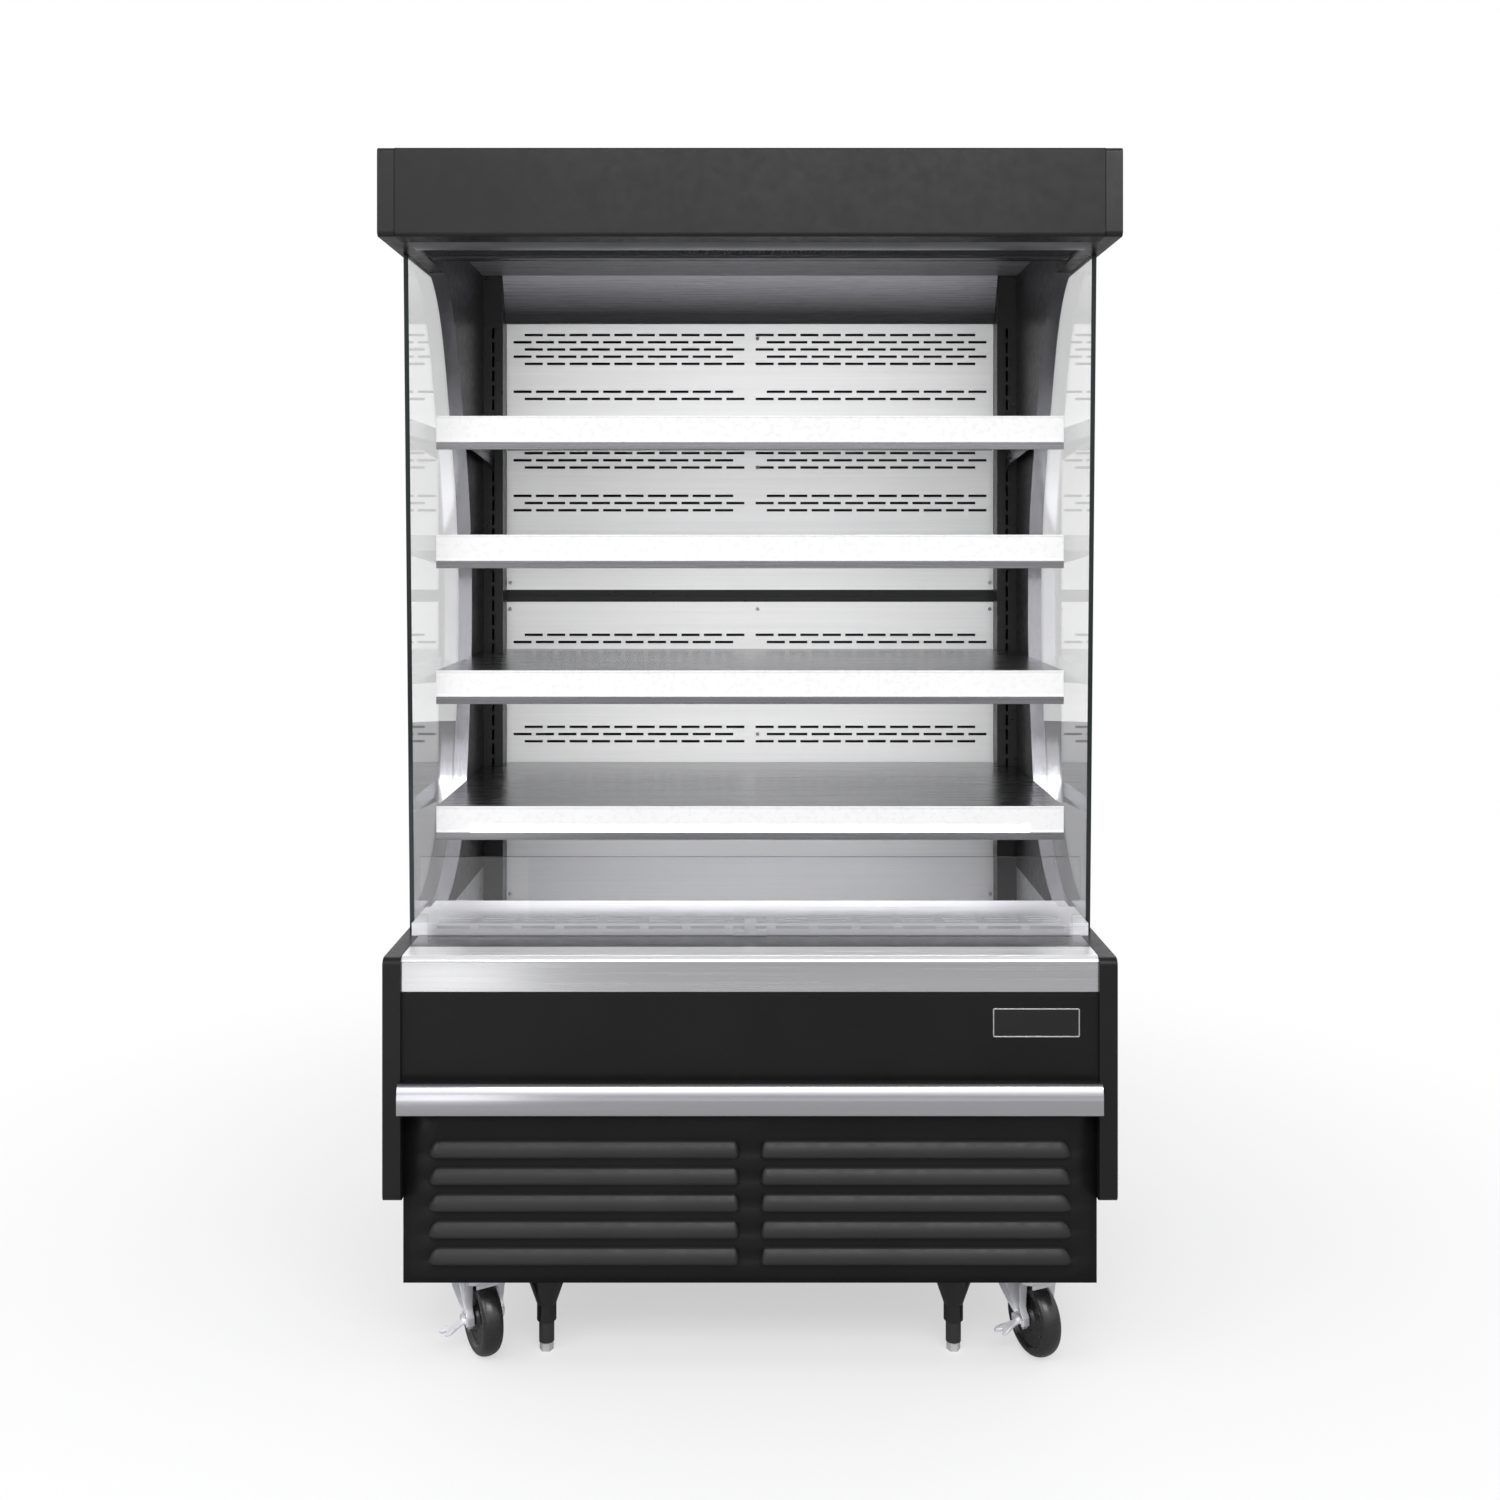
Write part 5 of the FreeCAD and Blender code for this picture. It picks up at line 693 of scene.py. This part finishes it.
# ---- copies by Geometry Nodes
def copies_tree():
    """Tree that sets copies of one piece in evenly spaced rows and columns."""
    tree = bpy.data.node_groups.new("rows_of_copies", "GeometryNodeTree")
    interface = tree.interface
    inputs = {
        "Piece": "Object", "Columns": "Int", "Rows": "Int", "Start": "Vector", "Column Step": "Vector",
        "Row Step": "Vector", "Odd Row Shift": "Vector", "Turn": "Vector", "Finish": "Material"}
    for label, kind in inputs.items():
        interface.new_socket(label, in_out="INPUT", socket_type="NodeSocket" + kind)
    interface.new_socket("Copies", in_out="OUTPUT", socket_type="NodeSocketGeometry")
    add = partial(put, tree)
    sizes = add("NodeGroupInput").outputs
    index = add("GeometryNodeInputIndex").outputs["Index"]
    total = add("ShaderNodeMath", {0: sizes["Columns"], 1: sizes["Rows"]}, operation="MULTIPLY")
    column = add("ShaderNodeMath", {0: index, 1: sizes["Columns"]}, operation="MODULO")
    share = add("ShaderNodeMath", {0: index, 1: sizes["Columns"]}, operation="DIVIDE")
    row = add("ShaderNodeMath", {0: share.outputs[0]}, operation="FLOOR")
    odd = add("ShaderNodeMath", {0: row.outputs[0], 1: 2.0}, operation="MODULO")
    place = sizes["Start"]
    for step, times in (("Column Step", column), ("Row Step", row), ("Odd Row Shift", odd)):
        move = add("ShaderNodeVectorMath", {0: sizes[step], "Scale": times.outputs[0]}, operation="SCALE")
        place = add("ShaderNodeVectorMath", {0: place, 1: move.outputs[0]}, operation="ADD").outputs[0]
    points = add("GeometryNodePoints", {"Count": total.outputs[0], "Position": place})
    pattern = add("GeometryNodeObjectInfo", {"Object": sizes["Piece"]})
    turn = add("FunctionNodeEulerToRotation", {0: sizes["Turn"]})
    copies = add("GeometryNodeInstanceOnPoints", {
        "Points": points.outputs[0], "Instance": pattern.outputs["Geometry"], "Rotation": turn.outputs[0]})
    real = add("GeometryNodeRealizeInstances", {"Geometry": copies.outputs[0]})
    dressed = add("GeometryNodeSetMaterial", {"Geometry": real.outputs[0], "Material": sizes["Finish"]})
    add("NodeGroupOutput", {"Copies": dressed.outputs[0]})
    return tree


COPIES = copies_tree()


def copies(name, pattern, finish, columns, rows=1, **places):
    """Plain mesh of the copies that the tree makes; the pattern piece is used up."""
    host = bpy.data.objects.new(name, bpy.data.meshes.new(name))
    SCENE.collection.objects.link(host)
    modifier = host.modifiers.new("rows", "NODES")
    modifier.node_group = COPIES
    sockets = {item.name: item.identifier for item in COPIES.interface.items_tree if item.in_out == "INPUT"}
    values = {"Piece": pattern, "Columns": columns, "Rows": rows, "Finish": FINISHES[finish].material}
    values.update({label.replace("_", " ").title(): value for label, value in places.items()})
    for label, value in values.items():
        modifier[sockets[label]] = value
    bpy.context.view_layer.update()
    graph = bpy.context.evaluated_depsgraph_get()
    mesh = bpy.data.meshes.new_from_object(host.evaluated_get(graph), depsgraph=graph)
    host.modifiers.remove(modifier)
    host.data = mesh
    mesh.name = name
    bpy.data.objects.remove(pattern)
    return host


# ---- base front
def louver_hood(outer_first):
    """One pressed hood from x 0 to its length: a long rounded outer end and a short inner end."""
    shares = [(k / (HOOD_STATIONS - 1.0)) ** HOOD_CROWDING for k in range(HOOD_STATIONS)]
    ends = LOUVER_ENDS if outer_first else LOUVER_ENDS[::-1]
    middle = [LOUVER_LENGTH * k / HOOD_SPANS for k in range(1, HOOD_SPANS)]
    xs = [ends[0] * k for k in shares] + middle + [LOUVER_LENGTH - ends[1] * k for k in reversed(shares)]
    vertices = []
    for x in xs:
        inward = min(1.0, x / ends[0], (LOUVER_LENGTH - x) / ends[1])
        full = 1.0 - (1.0 - inward) ** HOOD_END
        for k in range(HOOD_ROWS):
            rise = k / (HOOD_ROWS - 1.0)
            vertices.append((x, -LOUVER_DEPTH * full * (1.0 - rise ** HOOD_FRONT), LOUVER_HEIGHT * full * rise))
    faces = []
    for station in range(len(xs) - 1):
        for k in range(HOOD_ROWS - 1):
            corner = station * HOOD_ROWS + k
            faces.append((corner, corner + HOOD_ROWS, corner + HOOD_ROWS + 1, corner + 1))
    return vertices, faces


def louvers():
    """Lower front sheet with its openings, and the two groups of hoods on it."""
    low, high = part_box("louver_panel")
    front = high.y - SHEET
    groups = {"left": -LOUVER_GAP / 2.0 - LOUVER_LENGTH, "right": LOUVER_GAP / 2.0}
    holes = []
    for row in range(LOUVER_ROWS):
        z = low.z + LOUVER_BOTTOM + row * LOUVER_PITCH
        holes += [
            (start + LOUVER_INSET, start + LOUVER_LENGTH - LOUVER_INSET, z, z + LOUVER_OPENING * LOUVER_HEIGHT)
            for start in groups.values()]
    sheet = made_of("louver_sheet", punched((low.x, high.x), (low.z, high.z), front, holes), "black_coat")
    for polygon in sheet.data.polygons:
        if polygon.normal.y > 0:
            polygon.flip()
    skin = sheet.modifiers.new("sheet_thickness", "SOLIDIFY")
    skin.thickness, skin.offset = SHEET, -1.0
    settle(sheet, ["louver_panel"])
    for side, start in groups.items():
        hood = made_of("hood_pattern_" + side, louver_hood(side == "left"), "louver_painted_sheen", crease=50.0)
        work = bmesh.new()
        work.from_mesh(hood.data)
        if sum(face.normal.y * face.calc_area() for face in work.faces) > 0:
            bmesh.ops.reverse_faces(work, faces=work.faces)
        bmesh.ops.solidify(work, geom=work.faces[:], thickness=LOUVER_SKIN)
        work.to_mesh(hood.data)
        work.free()
        hoods = copies(
            "louver_hoods_" + side, hood, "louver_painted_sheen", 1, LOUVER_ROWS,
            start=(start, front, low.z + LOUVER_BOTTOM), row_step=(0.0, 0.0, LOUVER_PITCH))
        settle(hoods)


def bumper_rail():
    """Rail with an upright lower face and a rounded upper face, on its brackets."""
    low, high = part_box("bumper_rail")
    back, crest = low.y + RAIL_BODY, low.z + RAIL_FACE
    foot = arc((low.y + RAIL_FOOT[0], low.z + RAIL_FOOT[1]), RAIL_FOOT[1], 270, 180, RAIL_STEPS[0])
    upper = quarter_round((low.y + RAIL_ROUND[0], crest), (RAIL_ROUND[1], high.z - crest), RAIL_STEPS[1])
    outline = [(back, low.z)] + foot + upper + [(back, high.z)]
    rail = made_of("bumper_rail_bar", drawn(outline, low.x, high.x), "rail_steel", crease=12.0)
    settle(rail, ["bumper_rail"])
    feet = []
    half = RAIL_BRACKET_WIDTH / 2.0
    for k in range(RAIL_BRACKETS):
        centre = low.x + (k + 0.5) * (high.x - low.x) / RAIL_BRACKETS
        feet.append(block(
            (centre - half, back, low.z + RAIL_BRACKET_FOOT), (centre + half, high.y, high.z - 2.0 * SHEET)))
    settle(softened(made_of("bumper_brackets", merged(feet), "black_coat"), width=0.001))


def nosing():
    """Folded stainless nosing with a rounded front edge and short hems."""
    low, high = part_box("deck_nosing")
    depth, height = NOSE_ROUND
    outer = [(low.y, low.z)] + quarter_round((low.y, high.z - height), NOSE_ROUND, NOSE_STEPS)
    inner = quarter_round((low.y + SHEET, high.z - height), (depth - SHEET, height - SHEET), NOSE_STEPS)
    outline = outer + [(high.y, high.z), (high.y, high.z - SHEET)] + inner[::-1] + [
        (low.y + SHEET, low.z + SHEET), (low.y + NOSE_HEM, low.z + SHEET), (low.y + NOSE_HEM, low.z)]
    sheet = made_of("nosing_sheet", drawn(outline, low.x, high.x), "nosing_steel", crease=25.0)
    settle(sheet, ["deck_nosing"])


def badge():
    """Blank badge: polished rim round a dark enamel field."""
    low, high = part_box("badge_plate")
    middle = (low + high) / 2.0

    def ring(inset, y):
        radius = max(BADGE_ROUND - inset, BADGE_ROUND_LEAST)
        corners = []
        for sx, sz, first in ((1, -1, 270), (1, 1, 0), (-1, 1, 90), (-1, -1, 180)):
            centre = (
                middle.x + sx * ((high.x - low.x) / 2.0 - inset - radius),
                middle.z + sz * ((high.z - low.z) / 2.0 - inset - radius))
            corners += arc(centre, radius, first, first + 90, 4)
        return [(x, y, z) for x, z in corners]

    rim = lofted([
        ring(0.0, high.y), ring(0.0, low.y + BADGE_EASE), ring(BADGE_CHAMFER, low.y),
        ring(BADGE_RIM - BADGE_EASE, low.y), ring(BADGE_RIM, low.y + BADGE_EASE), ring(BADGE_RIM, high.y)],
        closed=True)
    settle(made_of("badge_rim", rim, "bright_steel"), ["badge_plate"])
    field = lofted([ring(BADGE_RIM, high.y), ring(BADGE_RIM, high.y - BADGE_FIELD)])
    settle(made_of("badge_field", field, "badge_field"))


# ---- opening
def pane_edges():
    """Dark polished front edges of the two leaning side panes."""
    low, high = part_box("side_glass")
    base_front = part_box("front_panel")[0].y
    foot, head = base_front + GLASS_FOOT, base_front + GLASS_HEAD
    outline = [(foot - GLASS_EDGE, low.z), (foot, low.z), (head, high.z), (head - GLASS_EDGE, high.z)]
    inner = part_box("return_grille")[1].x + GLASS_GAP
    strips = merged([drawn(outline, inner, high.x), drawn(outline, -high.x, -inner)])
    settle(softened(made_of("side_pane_edges", strips, "pane_edge"), width=0.0004))


def ticket_strips():
    """White price strips with a rail along the top and the bottom."""
    for number in range(1, 5):
        node = "shelf_%d_ticket_strip" % number
        low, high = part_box(node)
        recess = low.y + STRIP_RECESS
        foot, head = low.z + STRIP_RAIL, high.z - STRIP_RAIL
        outline = [
            (high.y, low.z), (low.y, low.z), (low.y, foot), (recess, foot + STRIP_SLOPE),
            (recess, head - STRIP_SLOPE), (low.y, head), (low.y, high.z), (high.y, high.z)]
        strip = made_of("price_strip_%d" % number, drawn(outline, low.x, high.x), "white_plastic")
        settle(softened(strip, width=0.0003), [node], "shelf_%d" % number)


def curtain_leader():
    """Free end of the night curtain, from the roll to the pull bar."""
    bar_low, bar_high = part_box("curtain_bar")
    roll_low, roll_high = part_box("curtain_roll")
    y = (bar_low.y + bar_high.y) / 2.0
    top = (roll_low.z + roll_high.z) / 2.0
    half = bar_high.x - CURTAIN_MARGIN
    rows, columns = CURTAIN_CELLS
    vertices = [
        (half * (2.0 * c / columns - 1.0), y, top + (bar_high.z - top) * r / rows)
        for r in range(rows + 1) for c in range(columns + 1)]
    faces = []
    for r in range(rows):
        for c in range(columns):
            corner = r * (columns + 1) + c
            faces.append((corner, corner + 1, corner + columns + 2, corner + columns + 1))
    leader = made_of("curtain_leader", (vertices, faces), "cloth")
    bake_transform(leader)


def return_filter():
    """Pale filter sheet that shows through the slots of the return ledge."""
    low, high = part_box("return_grille")
    top, front = high.z - SHEET - FILTER_GAP, low.y + SHEET + FILTER_GAP
    left, right, turn = low.x + FILTER_INSET, high.x - FILTER_INSET, front + FILTER_SHEET
    folds = merged([
        block((left, turn, top - FILTER_SHEET), (right, high.y - FILTER_INSET, top)),
        block((left, front, top - FILTER_DROP), (right, turn, top))])
    settle(softened(made_of("return_filter_sheet", folds, "filter"), width=0.0004))


def outlet_comb():
    """Honeycomb of the cold air outlet, in its frame."""
    low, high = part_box("discharge_grille")
    outer = COMB_CELL / math.sqrt(3.0)
    inner, depth = outer - COMB_WALL, high.z - low.z - 2.0 * COMB_WALL
    corners = [(math.sin(math.radians(60 * k)), math.cos(math.radians(60 * k))) for k in range(6)]
    cell = made_of("cell_pattern", lofted([
        [(radius * x, radius * y, z) for x, y in corners]
        for radius, z in ((outer, 0.0), (outer, depth), (inner, depth), (inner, 0.0))], closed=True), "comb")
    row_step = COMB_CELL * math.sqrt(3.0) / 2.0
    columns = int((high.x - low.x - 2.0 * COMB_FRAME - COMB_CELL / 2.0) / COMB_CELL)
    rows = int((high.y - low.y - 2.0 * COMB_FRAME - outer) / row_step)
    start = (
        -(columns - 0.5) * COMB_CELL / 2.0, (low.y + high.y) / 2.0 - (rows - 1) * row_step / 2.0, low.z + COMB_WALL)
    comb = copies(
        "outlet_honeycomb", cell, "comb", columns, rows, start=start,
        column_step=(COMB_CELL, 0.0, 0.0), row_step=(0.0, row_step, 0.0), odd_row_shift=(COMB_CELL / 2.0, 0.0, 0.0))
    settle(comb, ["discharge_grille"])
    wide = COMB_FRAME + outer / 2.0
    front, back = low.y + wide, high.y - wide
    bars = [block((x0, y0, low.z), (x1, y1, high.z)) for x0, y0, x1, y1 in (
        (low.x, low.y, high.x, front), (low.x, back, high.x, high.y),
        (low.x, front, low.x + wide, back), (high.x - wide, front, high.x, back))]
    settle(softened(made_of("outlet_frame", merged(bars), "canopy_coat"), width=0.0006))


# ---- casters
def fork_cheek(side):
    """Pressed cheek: a web beside the wheel with a flange turned out along each edge."""
    near, t, ease, fold = CHEEK_NEAR, CHEEK_PLATE, *CHEEK_FOLD
    sections = []
    for z, back, front, back_flange, front_flange in CHEEK_ROWS:
        ring = [
            (back, near + back_flange), (back, near + fold), (back + ease, near + ease), (back + fold, near),
            (front - fold, near), (front - ease, near + ease), (front, near + fold), (front, near + front_flange),
            (front - t, near + front_flange), (front - t, near + t + ease), (front - t - ease, near + t),
            (back + t + ease, near + t), (back + t, near + t + ease), (back + t, near + back_flange)]
        sections.append([(x, side * y, z) for x, y in ring])
    return lofted(sections)


def fork_crown():
    """Rounded head of the fork over the wheel, with a lip turned down at its front."""
    sections = []
    for z, inset in CROWN_RINGS:
        ring = []
        for k in range(CROWN_SIDES):
            angle = 2.0 * math.pi * k / CROWN_SIDES
            x, y = (
                (half - inset) * math.copysign(abs(share) ** CROWN_SQUARE, share)
                for half, share in zip(CROWN_HALF, (math.cos(angle), math.sin(angle))))
            ring.append((CROWN_MIDDLE + x, y, z))
        sections.append(ring)
    front, top = CROWN_MIDDLE + CROWN_HALF[0], CROWN_RINGS[0][0] + CROWN_LIP_INTO
    inner, outer = front - CROWN_LIP_BACK[0], front - CROWN_LIP_BACK[1]
    lip = drawn(
        [(inner, CROWN_LIP), (outer, CROWN_LIP), (outer, top), (inner, top)], -CROWN_LIP_HALF, CROWN_LIP_HALF)
    return merged([lofted(sections), moved(lip, lambda x, y, z: (y, x, z))])


def on_axle(shape):
    """Shape about the Z axis, turned to the wheel's axle."""
    return moved(shape, lambda x, y, z: (WHEEL_TRAIL + x, z, WHEEL_RADIUS + y))


def dome_nut(side):
    """Dome nut on one end of the axle: its cap, hexagon and skirt."""
    start = CHEEK_NEAR + CHEEK_PLATE
    return on_axle(moved(turned(DOME_NUT, segments=18), lambda x, y, z: (x, y, side * (start + z))))


def brake_pedal():
    """Brake lever: a barrel on its pin, a knob and a drooping pedal with two lobes."""
    barrel = moved(turned(PEDAL_BARREL, segments=20), lambda x, y, z: (
        WHEEL_TRAIL - PEDAL_BARREL_START + z, x - PEDAL_PIN, WHEEL_RADIUS + y))
    knob = moved(turned(PEDAL_KNOB, segments=18), lambda x, y, z: (
        WHEEL_TRAIL + x, y - PEDAL_PIN - PEDAL_KNOB_OUT, WHEEL_RADIUS + z))
    layers = []
    c, s = math.cos(math.radians(PEDAL_DROOP)), math.sin(math.radians(PEDAL_DROOP))
    for level, inset in PEDAL_LAYERS:
        ring = []
        for across, out in PEDAL_OUTLINE:
            x = across * (1.0 - inset / PEDAL_SPAN[0])
            y = PEDAL_ROOT + (out - PEDAL_ROOT) * (1.0 - inset / PEDAL_SPAN[1])
            ring.append((WHEEL_TRAIL + x, -PEDAL_PIN - y * c - level * s, WHEEL_RADIUS - y * s + level * c))
        layers.append(ring)
    return merged([barrel, lofted(layers), knob])


def rolling_wheel():
    """Wheel with a crowned tread, soft shoulders, dished sides and a bored hub."""
    half = WHEEL_SIDE + TREAD_HALF
    return on_axle(turned(half + tuple((r, -a) for r, a in half[-2::-1]), WHEEL_FACETS, closed=True))


def at_caster(shape, name):
    """Shape with its trail along +X, turned to the caster's heading and moved to its kingpin."""
    x0, y0, heading = CASTERS[name]
    c, s = math.cos(math.radians(heading)), math.sin(math.radians(heading))
    return moved(shape, lambda x, y, z: (x0 + c * x - s * y, y0 + s * x + c * y, z))


def casters():
    """Pressed forks with dome nuts, crowned wheels and the two front brake levers."""
    reach = CHEEK_NEAR + CHEEK_PLATE
    thick, half = PEDAL_EAR
    for name in CASTERS:
        braked = name.startswith("front")
        axle = on_axle(turned([(AXLE_RADIUS, -reach), (AXLE_RADIUS, reach)], segments=16))
        pieces = [fork_crown(), fork_cheek(1.0), fork_cheek(-1.0), dome_nut(1.0), axle]
        if braked:
            pieces += [block(
                (WHEEL_TRAIL + x, -PEDAL_PIN - half, WHEEL_RADIUS - half),
                (WHEEL_TRAIL + x + thick, -CHEEK_NEAR, WHEEL_RADIUS + half)) for x in PEDAL_EARS]
        else:
            pieces.append(dome_nut(-1.0))
        fork = made_of("caster_fork_%s_pressed" % name, at_caster(merged(pieces), name), "zinc")
        settle(softened(fork, width=0.0006), ["caster_fork_" + name], "caster_fork_" + name)
        wheel = made_of("caster_wheel_%s_tyre" % name, at_caster(rolling_wheel(), name), "rubber", crease=60.0)
        settle(wheel, ["caster_wheel_" + name], "caster_wheel_" + name)
        if braked:
            lever = made_of("brake_pedal_" + name, at_caster(brake_pedal(), name), "pedal", crease=40.0)
            settle(lever, ["brake_lever_" + name], "brake_lever_" + name)


# ---- screws
def screws_of(name, count, rows=1, **places):
    """Rows of pan head screws with a recessed middle."""
    head = turned([(r * SCREW_RADIUS, h * SCREW_HEIGHT) for r, h in SCREW_HEAD], segments=12)
    pattern = made_of(name + "_pattern", head, "machined")
    settle(copies(name, pattern, "machined", count, rows, **places))


def screws():
    """Screw rows on the rear cover and on the lower body's sides."""
    low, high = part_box("rear_grille")
    margin = SCREW_MARGIN
    step = (high.x - low.x - 2.0 * margin) / (REAR_SCREWS - 1)
    screws_of(
        "rear_cover_screws", REAR_SCREWS, 2, start=(low.x + margin, high.y, low.z + margin),
        column_step=(step, 0.0, 0.0), row_step=(0.0, 0.0, high.z - low.z - 2.0 * margin),
        turn=(-math.pi / 2.0, 0.0, 0.0))
    low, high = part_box("side_skins")
    step = (high.y - low.y - 4.0 * margin) / (SIDE_SCREWS - 1)
    for name, side in (("left", -1.0), ("right", 1.0)):
        screws_of(
            "side_screws_" + name, SIDE_SCREWS, start=(side * high.x, low.y + 2.0 * margin, low.z + margin),
            column_step=(0.0, step, 0.0), turn=(0.0, side * math.pi / 2.0, 0.0))


# ---- studio
def studio_camera():
    """Level camera at the photo's eye point."""
    lens = bpy.data.cameras.new("eye_level_camera")
    lens.sensor_width = SENSOR
    lens.lens = SENSOR * FOCAL / PICTURE
    lens.shift_y = (HORIZON - PICTURE / 2.0) / PICTURE
    camera = bpy.data.objects.new("eye_level_camera", lens)
    camera.location = EYE
    camera.rotation_euler = (math.pi / 2.0, 0.0, 0.0)
    SCENE.collection.objects.link(camera)
    SCENE.camera = camera


def studio_world():
    """White to the eye; a softly graded grey room to everything that lights or mirrors."""
    world = bpy.data.worlds.new("pale_studio")
    add = partial(put, emptied(world))
    parts = add("ShaderNodeSeparateXYZ", {0: add("ShaderNodeTexCoord").outputs["Generated"]})
    height = add("ShaderNodeMapRange", {"Value": parts.outputs["Z"], "From Min": -1.0})
    ramp = add("ShaderNodeValToRGB", {"Fac": height.outputs["Result"]})
    stops = ramp.color_ramp.elements
    while len(stops) < len(ROOM_TONES):
        stops.new(0.5)
    for stop, (position, tone) in zip(stops, ROOM_TONES):
        stop.position = position
        stop.color = grey(tone, 1.02)
    room = add("ShaderNodeBackground", {"Color": ramp.outputs["Color"], "Strength": ROOM_STRENGTH})
    seen = add("ShaderNodeBackground", {"Color": WHITE})
    ray = add("ShaderNodeLightPath").outputs
    either = add("ShaderNodeMath", {0: ray["Is Camera Ray"], 1: ray["Is Transmission Ray"]}, operation="MAXIMUM")
    chooser = add("ShaderNodeMixShader", {"Fac": either.outputs[0], 1: room.outputs[0], 2: seen.outputs[0]})
    add("ShaderNodeOutputWorld", {"Surface": chooser.outputs[0]})
    SCENE.world = world


def softbox(name, place, target, size, watts, matte, glossy):
    """Rectangular soft light that faces its target, for matte surfaces, glossy ones or both."""
    light = bpy.data.lights.new(name, "AREA")
    light.shape = "RECTANGLE"
    light.size, light.size_y = size
    light.energy = watts
    lamp = bpy.data.objects.new(name, light)
    lamp.location = place
    lamp.rotation_euler = (Vector(target) - Vector(place)).to_track_quat("-Z", "Y").to_euler()
    lamp.visible_camera = False
    lamp.visible_transmission = False
    lamp.visible_diffuse = matte
    lamp.visible_glossy = glossy
    SCENE.collection.objects.link(lamp)


def studio_floor():
    """Pale round floor that turns white away from the cabinet."""
    mesh = bpy.data.meshes.new("studio_floor")
    rim = [(x, y, 0.0) for x, y in arc((0.0, 0.0), FLOOR_RADIUS, 0, 360, FLOOR_SIDES)[:-1]]
    mesh.from_pydata(rim, [], [tuple(range(len(rim)))])
    floor = bpy.data.objects.new("studio_floor", mesh)
    SCENE.collection.objects.link(floor)
    material = bpy.data.materials.new("pale_floor")
    add = partial(put, emptied(material))
    distance = add("ShaderNodeVectorMath", {0: add("ShaderNodeTexCoord").outputs["Object"]}, operation="LENGTH")
    fade = add("ShaderNodeMapRange", {
        "Value": distance.outputs["Value"], "From Min": FLOOR_FADE[0], "From Max": FLOOR_FADE[1],
        "To Min": FLOOR_WHITE}, interpolation_type="SMOOTHSTEP")
    eye = add("ShaderNodeLightPath").outputs["Is Camera Ray"]
    seen = add("ShaderNodeMath", {0: fade.outputs["Result"], 1: eye}, operation="MULTIPLY")
    tone = add("ShaderNodeMapRange", {"Value": eye, "To Min": FLOOR_TONES[0], "To Max": FLOOR_TONES[1]})
    matte = add("ShaderNodeBsdfDiffuse", {"Color": tone.outputs["Result"]})
    white = add("ShaderNodeEmission", {"Color": WHITE})
    chooser = add("ShaderNodeMixShader", {"Fac": seen.outputs[0], 1: matte.outputs[0], 2: white.outputs[0]})
    add("ShaderNodeOutputMaterial", {"Surface": chooser.outputs[0]})
    mesh.materials.append(material)


studio_camera()
studio_world()
studio_floor()
for lamp in SOFTBOXES:
    softbox(*lamp)
SCENE.view_settings.view_transform = "Standard"

dress_nodes()
louvers()
nosing()
bumper_rail()
badge()
pane_edges()
ticket_strips()
curtain_leader()
return_filter()
outlet_comb()
casters()
screws()
